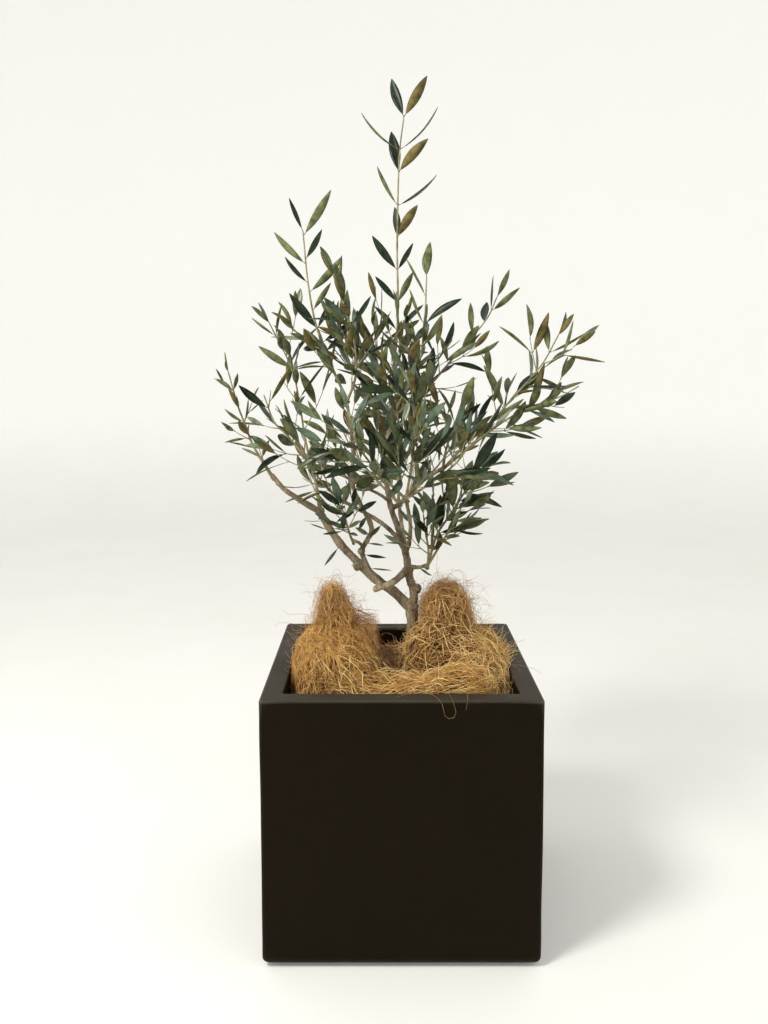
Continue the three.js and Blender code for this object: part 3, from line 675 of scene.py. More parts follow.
# %% Where each mass grows: its bough, side shoots, the lowest one's reach, its seed and stem route
sprays = {
    "foliage_top": dict(
        bough="leader", shoots=5, reach=0.085, seed=101, branching=0.3, leafy=0.3, leaf=0.052,
        twigs=False,
        route=[(-0.015, 0.008, 0.706), (-0.009, 0.004, 0.776), (-0.003, 0, 0.835), (-0.002, 0, 0.895),
               (-0.003, 0, 0.969), (0, 0, 1.094), (0.007, 0, 1.157)]),
    "foliage_left_tip": dict(
        bough="bough_left_outer", shoots=4, reach=0.04, seed=202, leaf=0.036, twigs=False,
        route=[(-0.191, 0.004, 0.62), (-0.217, -0.002, 0.664), (-0.23, -0.005, 0.699),
               (-0.24, -0.008, 0.726), (-0.253, -0.013, 0.775)]),
    "foliage_left_upper": dict(
        bough="bough_left", shoots=6, reach=0.08, seed=303, twigs=False,
        route=[(-0.118, 0.015, 0.561), (-0.127, 0.032, 0.605), (-0.143, 0.042, 0.668),
               (-0.153, 0.044, 0.729), (-0.165, 0.04, 0.782), (-0.198, 0.036, 0.85)]),
    "foliage_low_left": dict(
        bough="bough_crossing", shoots=6, reach=0.06, seed=404, twigs=False,
        route=[(-0.088, -0.03, 0.59), (-0.104, -0.038, 0.606), (-0.126, -0.052, 0.636),
               (-0.142, -0.066, 0.672)]),
    "foliage_inner_left": dict(
        bough="bough_inner", shoots=7, reach=0.05, seed=454, leaf=0.044,
        route=[(-0.069, -0.033, 0.53), (-0.074, -0.04, 0.545), (-0.078, -0.046, 0.562),
               (-0.084, -0.051, 0.582)]),
    "foliage_mid_left": dict(
        bough="bough_diagonal", shoots=5, reach=0.055, seed=505, twigs=False,
        route=[(-0.102, -0.012, 0.632), (-0.145, -0.01, 0.658), (-0.166, -0.012, 0.682),
               (-0.185, -0.015, 0.702), (-0.2, -0.018, 0.742)]),
    "foliage_left_high": dict(
        bough="bough_riser", shoots=4, reach=0.05, seed=606, branching=0.35, leafy=0.5, twigs=False,
        route=[(-0.078, -0.004, 0.736), (-0.097, -0.006, 0.776), (-0.122, -0.009, 0.84),
               (-0.135, -0.01, 0.905), (-0.143, -0.01, 0.985)]),
    "foliage_centre_left": dict(
        bough="bough_riser", shoots=5, reach=0.06, seed=707, branching=0.6,
        route=[(-0.078, -0.004, 0.73), (-0.064, -0.026, 0.772), (-0.066, -0.042, 0.82),
               (-0.078, -0.05, 0.868), (-0.096, -0.052, 0.915)]),
    "foliage_upper_right": dict(
        bough="leader", shoots=5, reach=0.055, seed=808, branching=0.6, twigs=False,
        route=[(-0.015, 0.008, 0.702), (0.004, -0.008, 0.738), (0.025, -0.018, 0.776),
               (0.035, -0.022, 0.82), (0.038, -0.022, 0.864), (0.04, -0.022, 0.915)]),
    "foliage_right_top": dict(
        bough="leader", shoots=5, reach=0.06, seed=909, branching=0.6, leafy=0.8, twigs=False,
        route=[(-0.015, 0.008, 0.696), (0.015, 0.024, 0.73), (0.049, 0.034, 0.757), (0.08, 0.038, 0.793),
               (0.133, 0.042, 0.854), (0.151, 0.044, 0.89)]),
    # Painted light: this mass and the next give their leaves paler tints, as though more light fell on them
    "foliage_right_upper": dict(
        bough="bough_right", shoots=8, reach=0.075, seed=1010, twigs=False, painted_light_share=0.15,
        route=[(0.069, 0.012, 0.632), (0.111, 0.014, 0.679), (0.141, 0.015, 0.702), (0.171, 0.015, 0.736),
               (0.215, 0.015, 0.786), (0.24, 0.015, 0.83)]),
    "foliage_right_outer": dict(
        bough="bough_right", shoots=7, reach=0.06, seed=1111, twigs=False, painted_light_share=0.15,
        route=[(0.069, 0.012, 0.632), (0.106, 0.024, 0.66), (0.157, 0.032, 0.698), (0.202, 0.034, 0.722),
               (0.247, 0.034, 0.738), (0.276, 0.036, 0.754)]),
    "foliage_right_inner": dict(
        bough="bough_right", shoots=5, reach=0.05, seed=1212, twigs=False,
        route=[(0.066, 0.012, 0.63), (0.07, -0.006, 0.662), (0.08, -0.016, 0.694),
               (0.09, -0.018, 0.726)]),
    # Painted light: this mass and the two after it give their leaves paler tints, as though more light fell
    # on them
    "foliage_low_centre": dict(
        bough="bough_spur", shoots=8, reach=0.05, seed=1262, leaf=0.046, painted_light_share=0.3,
        route=[(0.042, -0.022, 0.492), (0.042, -0.036, 0.518), (0.037, -0.046, 0.545),
               (0.034, -0.052, 0.57)]),
    "foliage_low_right": dict(
        bough="bough_spur", shoots=14, reach=0.058, seed=1313, leafy=0.96, painted_light_share=0.3,
        route=[(0.042, -0.022, 0.492), (0.054, -0.026, 0.535), (0.07, -0.032, 0.562),
               (0.094, -0.036, 0.6), (0.122, -0.038, 0.648)]),
    "foliage_low_right_outer": dict(
        bough="bough_spur", shoots=6, reach=0.04, seed=1414, leaf=0.046, leafy=0.75, painted_light_share=0.3,
        route=[(0.042, -0.022, 0.492), (0.058, -0.036, 0.522), (0.074, -0.048, 0.552),
               (0.09, -0.054, 0.584)]),
    "foliage_front_centre": dict(
        bough="bough_front", shoots=7, reach=0.075, seed=1515,
        route=[(0.008, -0.073, 0.596), (0.014, -0.108, 0.64), (0.018, -0.142, 0.69),
               (0.014, -0.168, 0.75)]),
    "foliage_front_left": dict(
        bough="bough_front", shoots=7, reach=0.07, seed=1616,
        route=[(0.008, -0.073, 0.596), (-0.026, -0.1, 0.632), (-0.056, -0.126, 0.672),
               (-0.076, -0.142, 0.716)]),
    "foliage_front_right": dict(
        bough="bough_front", shoots=6, reach=0.07, seed=1717, twigs=False,
        route=[(0.008, -0.073, 0.596), (0.044, -0.104, 0.624), (0.078, -0.13, 0.656),
               (0.1, -0.146, 0.696)]),
    "foliage_back_centre": dict(
        bough="bough_back", shoots=8, reach=0.08, seed=1818,
        route=[(0.001, 0.095, 0.566), (0, 0.122, 0.62), (0.002, 0.15, 0.68), (-0.004, 0.172, 0.742),
               (-0.004, 0.184, 0.79)]),
    "foliage_back_left": dict(
        bough="bough_back", shoots=8, reach=0.08, seed=1919,
        route=[(0.001, 0.095, 0.566), (-0.04, 0.122, 0.606), (-0.074, 0.148, 0.646),
               (-0.098, 0.164, 0.692)]),
    "foliage_back_right": dict(
        bough="bough_back", shoots=7, reach=0.08, seed=2020, twigs=False,
        route=[(0.001, 0.095, 0.566), (0.046, 0.122, 0.602), (0.082, 0.146, 0.642),
               (0.106, 0.16, 0.688)]),
    "foliage_centre_back": dict(
        bough="leader", shoots=5, reach=0.07, seed=2121, twigs=False,
        route=[(-0.015, 0.008, 0.7), (-0.026, 0.044, 0.736), (-0.032, 0.078, 0.78),
               (-0.034, 0.096, 0.826)]),
}

# %% The growth rule's sizes, in metres and radians
stem_diameter = 0.0040
stem_tip_diameter = 0.0019
stem_overlap = 0.007
collar_share = 0.46
collar_length = 0.035
shoot_diameter = 0.0023
shoot_tip_diameter = 0.0011
twig_diameter = 0.0014
twig_tip_diameter = 0.0009
twig_length_spread = (0.022, 0.024)
twig_lean_spread = (0.9, 0.3)
twig_shortening = 0.4
first_twig, twig_spacing = 3, 4
line_step = 0.007
source_shoot_step = 0.028
first_shoot = 0.1
usual_branching = 0.92
usual_leafy = 0.85
shoot_turn = math.radians(137.5)
shoot_lean = math.radians(48)
shoot_place_spread = 0.6
shoot_turn_spread = 0.9
shoot_lean_spread = (0.85, 0.3)
shoot_length_spread = (0.75, 0.5)
shoot_shortening = 0.45
shoot_lift = 0.22 * line_step / source_shoot_step
shortest_shoot = 0.02
shoot_bare, twig_bare = 0.12, 0.2
placed_gap = 0.02
space_margin = 0.0022
limb_clearance = 0.0016
crown_low = np.array([-0.284, -0.238, 0.44])
crown_high = np.array([0.300, 0.250, 1.224])

# %% What each shoot is tested against
spine_step = 0.008
spines = [smooth_route(spray["route"], spine_step) for spray in sprays.values()]
spine_points = np.vstack(spines)
spine_starts = np.cumsum([0] + [len(spine) for spine in spines[:-1]])


def clear_of_limbs(spots, clearance):
    away = np.linalg.norm(spots[:, None] - limb_points[None], axis=2)
    return bool((away > limb_girth + clearance).all())


def in_crown(spots):
    return bool(((spots > crown_low) & (spots < crown_high)).all())


def in_own_space(spots, owner, margin):
    away = np.linalg.norm(spots[:, None] - spine_points[None], axis=2)
    away = np.minimum.reduceat(away, spine_starts, axis=1)
    own = away[:, owner].copy()
    away[:, owner] = np.inf
    others = away.min(axis=1)
    return bool((others > own + margin).all() and (others > stem_diameter / 2 + limb_clearance).all())


# %% A side shoot or twig: it leaves at a lean and a turn, then rises towards the light
def leaning_way(along, across, up, lean, turn):
    side = across * math.cos(turn) + up * math.sin(turn)
    return unit(along * math.cos(lean) + side * math.sin(lean))


def grow_line(root, way, length, owner, lift, clearance):
    points = [root]
    while len(points) * line_step <= length + line_step / 2:
        way = unit(way + np.array([0, 0, lift]))
        spot = points[-1] + way * line_step
        step = np.stack([spot, (spot + points[-1]) / 2])
        if not in_crown(step) or not in_own_space(step, owner, space_margin):
            break
        if len(points) > 1 and not clear_of_limbs(step, clearance):
            break
        points.append(spot)
    return np.array(points)


# %% [markdown]
# ## Leaves
#
# An olive leaf is a slim blade with a short stalk: slate green and waxy above, matt khaki below. Its
# upper side turns to the shoot's tip and a little to the light, and it bends along its length. The
# leaves are drawn first as a list of roots, directions and lengths, and one set of array sums makes
# all of their meshes at once.

# %% The leaves' own sizes, pulls and draws
usual_leaf = 0.061
stem_internode = 0.027
shoot_internode = 0.026
internode_spread = (0.8, 0.4)
twig_share = 0.85
leaf_lean = math.radians(52)
tip_leaf_lean = math.radians(24)
lean_spread = (0.75, 0.5)
leaf_roll = math.radians(52)
turn_spread = 0.5
tip_pair_share, pair_gain = 0.78, 0.14
length_spread = (0.78, 0.44)
bend_spread = (-0.4, 1.2)
slenderness_spread = (3.7, 2.3)
shoot_pull = 0.55
light_pull = 0.25
outward_pull = 1.1
youngest_tint = 0.6
leaf_foot = 0.0004
tip_gap = 0.0015
crown_axis = np.array([0.0, 0.0, 0.62])
leaf_spacing = 0.004
leaves = []
leaf_spots = np.zeros((0, 3))

# %% [markdown]
# ### Open spots in the crown
#
# The photograph shows many small gaps in the crown. Each is a circle at the trunk's depth. Most of
# the leaves that would cover one, as the camera looks at it, are left out.

# %% The open spots: place across and up, and radius
eye = np.array([-0.025, -1.393, 0.777])
open_spots = np.array([
    (-0.128, 0.912, 0.020), (-0.148, 0.848, 0.014), (0.048, 0.894, 0.022), (0.080, 0.790, 0.020),
    (0.080, 0.752, 0.020), (-0.090, 0.724, 0.022), (-0.130, 0.716, 0.018), (-0.164, 0.650, 0.024),
    (-0.208, 0.776, 0.028), (0.140, 0.712, 0.012), (0.112, 0.660, 0.022), (0.136, 0.522, 0.024),
    (0.140, 0.866, 0.018), (0.226, 0.800, 0.020), (-0.044, 0.642, 0.018), (0.062, 0.662, 0.016),
    (-0.190, 0.800, 0.020), (0.007, 0.508, 0.018), (-0.136, 0.689, 0.023), (-0.077, 0.692, 0.016),
    (0.068, 0.689, 0.016), (0.098, 0.641, 0.018), (0.068, 0.637, 0.012), (0.160, 0.689, 0.022),
    (0.015, 0.632, 0.012), (0.162, 0.836, 0.026), (0.160, 0.790, 0.022), (0.186, 0.860, 0.016),
    (-0.050, 0.880, 0.018), (0.255, 0.719, 0.020), (0.280, 0.715, 0.014), (-0.193, 0.689, 0.018),
    (0.140, 0.662, 0.018),
])
open_share = 0.8
open_draw = seeded_draw(77)


def in_open_spot(spots):
    """True where a leaf would close a gap, as seen from the camera."""
    onto_trunk = eye[1] / (eye[1] - spots[:, 1])
    seen = eye + (spots - eye) * onto_trunk[:, None]
    away = np.linalg.norm(seen[:, None, [0, 2]] - open_spots[None, :, :2], axis=2)
    return bool((away < open_spots[:, 2]).any())


# %% Keep a leaf where it is clear of the limbs, the open spots and the leaves before it
def add_leaf(root, way, face, length, slenderness, bend, tint, listed=False):
    """Four spots along the bent leaf are tested. A listed leaf may lie close to another."""
    global leaf_spots
    middle = root + way * length * 0.5 + face * length * bend * 0.12
    tip = root + way * length * 0.96 + face * length * bend * 0.45
    spots = np.stack([root + way * length * 0.25, middle, (middle + tip) / 2, tip])
    if not in_crown(spots) or not clear_of_limbs(spots, limb_clearance):
        return
    if not listed and in_open_spot(spots[1:3]) and open_draw() < open_share:
        return
    if len(leaf_spots) and not listed:
        away = np.linalg.norm(spots[:, None] - leaf_spots[None], axis=2)
        if away.min() < leaf_spacing:
            return
    leaf_spots = np.vstack([leaf_spots, spots])
    leaves.append((root, way, face, length, slenderness, bend, tint))


# %% Pairs of leaves from the tip of a line back to its bare stretch
def paled(tint, share):
    return tint * (1 - share) + share


def grow_leaves(points, seed, bare, internode, usual, painted_light_share):
    draw = seeded_draw(seed)
    along, across, up = carry_frames(points)
    run = run_along(points)
    first_turn = math.pi * draw()
    back = tip_gap
    pair = 0
    while back < run[-1] * (1 - bare) or pair == 0:
        place = int(np.searchsorted(run, run[-1] - back).clip(0, len(points) - 1))
        share = min(1.0, tip_pair_share + pair_gain * pair)
        for side in (0, math.pi):
            turn = first_turn + pair * math.pi / 2 + side + turn_spread * (draw() - 0.5)
            lean = tip_leaf_lean + (leaf_lean - tip_leaf_lean) * min(pair, 2) / 2
            lean = lean * spread(draw, *lean_spread)
            length = usual * share * spread(draw, *length_spread)
            roll = leaf_roll * spread(draw, -1, 2)
            way = leaning_way(along[place], across[place], up[place], lean, turn)
            outward = unit(points[place] - crown_axis)
            pull = along[place] * shoot_pull + np.array([0, 0, light_pull]) + outward * outward_pull
            face = unit(pull - way * (pull @ way))
            face = unit(face * math.cos(roll) + np.cross(way, face) * math.sin(roll))
            bend = spread(draw, *bend_spread)
            slenderness = spread(draw, *slenderness_spread)
            # Painted light: a mass's share pales the drawn tint
            tint = paled(draw(), painted_light_share)
            if pair == 0:
                tint = paled(tint, youngest_tint)
            add_leaf(points[place] + way * leaf_foot, way, face, length, slenderness, bend, tint)
        back += internode * spread(draw, *internode_spread)
        pair += 1


# %% [markdown]
# ### Leaves set one by one
#
# On the two tall stems and along the lower boughs every leaf stands clear of the others, so these are
# listed. A row gives the height of the leaf's foot on its line, the place of its tip, its length over
# its width, its bend, and how far its upper side turns to the front, from 1 to -1.

# %% Leaves of the two tallest stems
placed_leaves = {
    "foliage_top": [
        (1.157, (-0.0145, 0.026, 1.2213), 4.9, 0.1, 0.85),
        (1.157, (0.0419, -0.022, 1.211), 4.6, -0.15, -0.85),
        (1.107, (-0.0558, 0.008, 1.1646), 7.0, 0.75, 0), (1.107, (0.0573, -0.006, 1.1722), 7.0, 0.75, 0),
        (1.075, (-0.0118, 0.026, 1.1417), 4.4, 0.1, 0.8),
        (1.075, (0.0381, -0.026, 1.1212), 4.4, -0.12, -0.9),
        (1.027, (-0.0314, -0.01, 1.0826), 6.5, 0.7, 0), (1.027, (0.056, 0.008, 1.0734), 6.5, 0.8, 0.3),
        (0.9747, (-0.0029, 0.028, 1.0273), 4.8, 0.1, 0.7),
        (0.9747, (0.0253, -0.026, 1.0215), 4.2, -0.1, -0.85),
        (0.9291, (-0.0415, 0.004, 0.9796), 5.0, 0.2, 0.5),
        (0.9291, (0.0227, 0.018, 0.971), 5.2, 0.25, 0.4),
        (0.8804, (-0.0363, 0.012, 0.9199), 4.8, 0.2, 0.4),
        (0.8804, (0.0199, -0.02, 0.9231), 4.8, 0.1, -0.3)],
    "foliage_left_high": [
        (0.9852, (-0.1623, -0.018, 1.0332), 6.6, 0.45, 0.4),
        (0.9757, (-0.0994, -0.004, 1.0458), 6.2, 0.4, -0.7),
        (0.9344, (-0.187, -0.014, 0.981), 6.4, 0.45, -0.66),
        (0.9396, (-0.1112, -0.024, 0.9832), 5.0, 0.25, 0.7),
        (0.9092, (-0.1748, 0.01, 0.9481), 6.8, 0.35, 0.45),
        (0.8961, (-0.0815, -0.006, 0.9441), 6.2, 0.3, -0.68),
        (0.868, (-0.101, -0.016, 0.908), 6.0, 0.3, -0.7),
        (0.8386, (-0.1617, -0.02, 0.8924), 5.0, 0.2, 0.85),
        (0.842, (-0.099, -0.02, 0.883), 6.0, 0.3, 0.8), (0.822, (-0.056, -0.018, 0.856), 5.6, 0.3, 0.7),
        (0.806, (-0.076, -0.022, 0.836), 5.2, 0.3, 0.8), (0.806, (-0.14, -0.012, 0.842), 5.2, 0.3, -0.7)],
}
placed_draw = seeded_draw(78)
brown_from, brown_tint, deep_tint = -0.8, 0.6, 0.1


# %% Set the listed leaves on a line
def place_leaves(points, listed, girth=0.0, mixed=False, painted_light_share=0.0):
    """The tint follows the side that shows, or is drawn where mixed is true."""
    for height, tip, slenderness, bend, frontal in listed:
        place = int(np.abs(points[:, 2] - height).argmin())
        root = points[place] + unit(np.array(tip) - points[place]) * girth
        reach = np.array(tip) - root
        length = np.linalg.norm(reach) * (1 + bend * bend / 24)
        facing = np.array([0, -frontal, 1 - abs(frontal)])
        way = unit(reach)
        face = unit(facing - way * (facing @ way))
        way = unit(way * math.cos(bend / 2) - face * math.sin(bend / 2))
        face = unit(facing - way * (facing @ way))
        tint = brown_tint if frontal < brown_from else deep_tint
        if mixed:
            # Painted light: a mass's share pales the drawn tint
            tint = paled(placed_draw(), painted_light_share)
        add_leaf(root + way * leaf_foot, way, face, length, slenderness, bend, tint, listed=True)


# %% Single leaves that stand straight on the lower boughs
limb_leaf_step = 0.003
limb_leaves = {
    "bough_left": [
        (0.516, (-0.1106, -0.004, 0.487), 5.5, 0.2, 0.2), (0.541, (-0.072, -0.01, 0.542), 6.0, 0.3, 0.2),
        (0.552, (-0.141, -0.006, 0.5545), 6.0, 0.2, 0.1), (0.536, (-0.133, 0.006, 0.548), 6.0, 0.2, 0.2)],
    "bough_riser": [
        (0.509, (-0.02, -0.032, 0.504), 5.0, 0.2, 0.5), (0.489, (-0.012, -0.034, 0.4865), 5.5, 0.2, 0.2),
        (0.524, (-0.023, -0.026, 0.522), 5.0, 0.2, 0.4), (0.5, (-0.07, -0.048, 0.496), 6.0, 0.2, 0.2),
        (0.535, (-0.064, -0.046, 0.548), 4.4, 0.2, 0.7), (0.56, (-0.03, -0.036, 0.572), 4.4, 0.2, 0.6)],
    "bough_spur": [
        (0.487, (0.047, -0.04, 0.479), 3.8, 0.15, -0.7), (0.49, (0.066, -0.036, 0.508), 4.4, 0.2, 0.6)],
    "bough_crossing": [
        (0.552, (-0.044, -0.04, 0.536), 4.6, 0.2, 0.5), (0.566, (-0.06, -0.044, 0.548), 4.4, 0.2, 0.6),
        (0.575, (-0.09, -0.046, 0.558), 4.6, 0.2, 0.5), (0.58, (-0.064, -0.046, 0.608), 4.2, 0.2, 0.7)],
}
for name, listed in limb_leaves.items():
    route, root_width, tip_width = limbs[name]
    line = smooth_route(route, limb_leaf_step)
    place_leaves(line, listed, girth=(root_width + tip_width) / 4, mixed=True)

# %% Single leaves that fill out two of the lower masses
extra_leaves = {
    "foliage_low_right": [
        (0.6, (0.0995, -0.062, 0.65), 3.6, 0.15, -0.85), (0.575, (0.0715, -0.06, 0.636), 3.8, 0.1, -0.8),
        (0.585, (0.118, -0.05, 0.598), 4.4, 0.3, 0.8), (0.548, (0.056, -0.058, 0.6), 4.0, 0.2, 0.8),
        (0.6, (0.136, -0.046, 0.586), 5.0, 0.3, 0.6), (0.555, (0.098, -0.05, 0.576), 4.6, 0.3, 0.75)],
    "foliage_inner_left": [
        (0.58, (-0.115, -0.06, 0.608), 4.2, 0.3, 0.85), (0.582, (-0.096, -0.064, 0.626), 4.0, 0.3, 0.8),
        (0.582, (-0.07, -0.066, 0.618), 4.4, 0.3, -0.7), (0.566, (-0.112, -0.058, 0.586), 4.4, 0.3, 0.8),
        (0.566, (-0.056, -0.06, 0.596), 4.2, 0.3, 0.8), (0.55, (-0.099, -0.056, 0.56), 4.6, 0.3, 0.7),
        (0.552, (-0.056, -0.056, 0.564), 4.6, 0.3, 0.7), (0.545, (-0.06, -0.056, 0.542), 4.6, 0.3, 0.7)],
}

# %% Short twigs on a shoot
shoots = Tubes(sides=6)


def grow_twigs(shoot, seed, owner, leaf, painted_light_share):
    draw = seeded_draw(seed + 7)
    along, across, up = carry_frames(shoot)
    grown = 0
    for j, at in enumerate(range(first_twig, len(shoot) - first_twig, twig_spacing)):
        lean = shoot_lean * spread(draw, *twig_lean_spread)
        way = leaning_way(along[at], across[at], up[at], lean, j * shoot_turn + draw() * math.pi)
        length = spread(draw, *twig_length_spread) * (1 - twig_shortening * at / len(shoot))
        twig = grow_line(shoot[at], way, length, owner, 2 * shoot_lift, limb_clearance + twig_diameter)
        if len(twig) < 3:
            continue
        shoots.add(twig, np.linspace(twig_diameter, twig_tip_diameter, len(twig)) / 2)
        grow_leaves(twig, seed + 31 * (j + 1), twig_bare, shoot_internode * twig_share,
                    twig_share * leaf, painted_light_share)
        grown += 1
    return grown


# %% Side shoots on a stem
def grow_shoots(line, spray, owner, leaf, painted_light_share):
    draw = seeded_draw(spray["seed"])
    along, across, up = carry_frames(line)
    branching = spray.get("branching", usual_branching)
    twigs = 0
    for k in range(spray["shoots"]):
        share = (k + shoot_place_spread * draw()) / spray["shoots"]
        place = first_shoot + (branching - first_shoot) * share
        turn = k * shoot_turn + shoot_turn_spread * (draw() - 0.5)
        lean = shoot_lean * spread(draw, *shoot_lean_spread)
        length = spray["reach"] * (1 - shoot_shortening * place) * spread(draw, *shoot_length_spread)
        at = round(place * (len(line) - 1))
        way = leaning_way(along[at], across[at], up[at], lean, turn)
        shoot = grow_line(line[at], way, length, owner, shoot_lift, limb_clearance + shoot_diameter)
        if len(shoot) * line_step < shortest_shoot + line_step:
            continue
        shoots.add(shoot, np.linspace(shoot_diameter, shoot_tip_diameter, len(shoot)) / 2)
        seed = spray["seed"] + 17 * (k + 1)
        grow_leaves(shoot, seed, shoot_bare, shoot_internode, leaf, painted_light_share)
        if spray.get("twigs", True):
            twigs += grow_twigs(shoot, seed, owner, leaf, painted_light_share)
    return twigs


# %% Grow every mass: the stem with a collar at its root, its leaves, then its shoots
stems = Tubes(sides=8)
twig_count = 0
for owner, (name, spray) in enumerate(sprays.items()):
    line = smooth_route(spray["route"], line_step)
    rooted = np.vstack([line[0] + unit(line[0] - line[1]) * stem_overlap, line])
    taper = np.linspace(stem_diameter, stem_tip_diameter, len(rooted)) / 2
    collar = limbs[spray["bough"]][2] * collar_share - stem_diameter / 2
    collar = collar * np.exp(-np.arange(len(rooted)) * line_step / collar_length)
    stems.add(rooted, taper + np.maximum(collar, 0))
    # A mass's share of painted light pales its leaves' tints
    leaf, painted_light_share = spray.get("leaf", usual_leaf), spray.get("painted_light_share", 0.0)
    leafy_line = line
    if name in placed_leaves:
        place_leaves(line, placed_leaves[name])
        lowest = min(height for height, *_ in placed_leaves[name])
        leafy_line = line[line[:, 2] < lowest - placed_gap]
    place_leaves(line, extra_leaves.get(name, []), mixed=True, painted_light_share=painted_light_share)
    grow_leaves(leafy_line, spray["seed"] + 5, 1 - spray.get("leafy", usual_leafy), stem_internode,
                leaf, painted_light_share)
    twig_count += grow_shoots(line, spray, owner, leaf, painted_light_share)
print(len(leaves), "leaves on", twig_count, "twigs")

# %% Twig finishes
def twig_finish(name, dark, pale, roughness):
    grain = {"scale": 900.0, "detail": 2.0, "stretch": (1, 1, 0.3)}
    return patchy_finish(name, dark, pale, (70.0, 3.0), (0.35, 0.68), (roughness, 0.1),
                         (grain, 0.4, 0.0003))


stem_piece = stems.piece("stems_of_the_crown", [
    twig_finish("stem_bark", shade(100, 89, 61), shade(163, 152, 114), 0.6)])
shoot_piece = shoots.piece("shoots_and_twigs", [
    twig_finish("young_bark", shade(115, 112, 72), shade(172, 170, 124), 0.55)])
for piece in (stem_piece, shoot_piece):
    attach(piece, "root")
    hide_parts(*sprays)

# %% The leaf's outline and section, as shares of its length and half width
stations = np.array([0.0, 0.035, 0.072, 0.12, 0.19, 0.29, 0.41, 0.54, 0.67, 0.79, 0.88, 0.95, 0.985])
stalk_end = 0.062
blade = ((stations - stalk_end) / (1 - stalk_end)).clip(0, 1)
outline = np.sin(math.pi * blade ** 0.98) ** 0.80
section_x = np.array([-1, -0.52, 0, 0.52, 1, 0.52, 0, -0.52])
section_side = np.array([0, 1, 1, 1, 0, -1, -1, -1])
ring_size = len(section_x)
stalk_radius = 0.00065
blade_thickness = 0.00042
midrib_rise = 0.00035
edge_width = 0.00005
least_bend = 0.02
most_twist = 0.5
fold_range = (0.05, 0.55)
most_sideways, sideways_turn = 0.13, 0.4
fold_power = 1.15
thin_share, full_width = 0.25, 0.002
stalk_spare = 0.7


# %% All leaves of one tint as arrays: leaf, station, point of the section, direction
def leaf_arrays(chosen):
    count = len(chosen)
    columns = [np.array(column) for column in zip(*chosen)]
    root, way, face = (column[:, None, None] for column in columns[:3])
    length, slenderness, bend = (column[:, None, None, None] for column in columns[3:6])
    bend = np.where(np.abs(bend) < least_bend, least_bend, bend)
    chance = np.random.default_rng(count)
    twist = chance.uniform(-most_twist, most_twist, count)[:, None, None, None]
    fold = chance.uniform(*fold_range, count)[:, None, None, None]
    sideways = chance.uniform(-most_sideways, most_sideways, count)[:, None, None, None]
    across = np.cross(way, face)
    t = np.append(stations, 1.0)[None, :, None, None]
    level_normal = face * np.cos(bend * t) - way * np.sin(bend * t)
    level_across = across * np.cos(twist * t) + level_normal * np.sin(twist * t)
    level_normal = level_normal * np.cos(twist * t) - across * np.sin(twist * t)
    spine = root + length * (way * np.sin(bend * t) / bend + face * (1 - np.cos(bend * t)) / bend)
    spine = spine + across * length * sideways * (t * t - sideways_turn * t)
    half = (length / slenderness / 2) * np.append(outline, 0)[None, :, None, None]
    on_stalk = np.append(blade, 1)[None, :, None, None] <= 0
    width = np.maximum(half, np.where(on_stalk, stalk_radius, edge_width))
    x = section_x[None, None, :, None]
    side = section_side[None, None, :, None]
    thick = np.where(on_stalk, stalk_radius, blade_thickness / 2 + midrib_rise * (1 - np.abs(x)) * (side < 0))
    thick = thick * np.minimum(1, thin_share + half / full_width)
    thick = thick + np.where(on_stalk, stalk_radius * stalk_spare, 0)
    rise = fold * np.abs(x) ** fold_power * half + side * thick
    corners = spine + level_across * x * width + level_normal * rise
    rings = corners[:, :-1].reshape(count, -1, 3)
    roots, tips = (spine[:, end].reshape(count, 1, 3) for end in (0, -1))
    return np.concatenate([rings, roots, tips], 1)


# %% Their faces, with the second finish on the underside
def leaf_faces(count):
    quads, ends = skin_faces(len(stations), ring_size)
    under = np.where(section_side + np.roll(section_side, -1) < 0, 1, 0)
    shift = (np.arange(count) * (len(stations) * ring_size + 2))[:, None, None]
    faces = [(block[None] + shift).reshape(-1, block.shape[1]) for block in (quads, ends)]
    slots = [np.tile(under, (len(stations) - 1) * count), np.tile(under, 2 * count)]
    return faces, np.concatenate(slots)


# %% [markdown]
# ## Leaf finishes
#
# The tints are plain base colours dealt out leaf by leaf: deep slate on most, then blue grey, olive
# and a paler green, which the youngest pair of a shoot has most often. The upper side is waxy, so its
# roughness is low. The underside is felted and stays matt, khaki on most and browner on some.

# %% Leaf finishes, and the range of tints that each covers
def leaf_top_finish(name, dark, pale, sheen=0.32):
    return patchy_finish(name, dark, pale, (55.0, 3.0), (0.35, 0.65), (0.25, 0.10),
                         ({"scale": 600.0, "detail": 2.0}, 0.18, 0.0004), specular_ior_level=sheen)


def leaf_underside_finish(name, dark, pale):
    return patchy_finish(name, dark, pale, (80.0, 3.0), (0.35, 0.65), (0.72, 0.1),
                         ({"scale": 1200.0, "detail": 2.0}, 0.25, 0.0003), specular_ior_level=0.3)


khaki = leaf_underside_finish("underside_khaki", shade(71, 75, 42), shade(122, 128, 87))
brown = leaf_underside_finish("underside_brown", shade(74, 66, 32), shade(120, 108, 62))
slate = leaf_top_finish("slate_green", shade(10, 20, 6), shade(36, 52, 27), 0.30)
blue_grey = leaf_top_finish("blue_grey_green", shade(46, 62, 46), shade(96, 112, 90))
olive = leaf_top_finish("olive_green", shade(50, 58, 30), shade(84, 90, 56))
young = leaf_top_finish("young_green", shade(90, 104, 76), shade(130, 140, 111))
leaf_tints = {
    "leaves_deep": (0.0, 0.56, slate, khaki),
    "leaves_blue": (0.56, 0.78, blue_grey, brown),
    "leaves_olive": (0.78, 0.89, olive, khaki),
    "leaves_young": (0.89, 1.01, young, khaki),
}

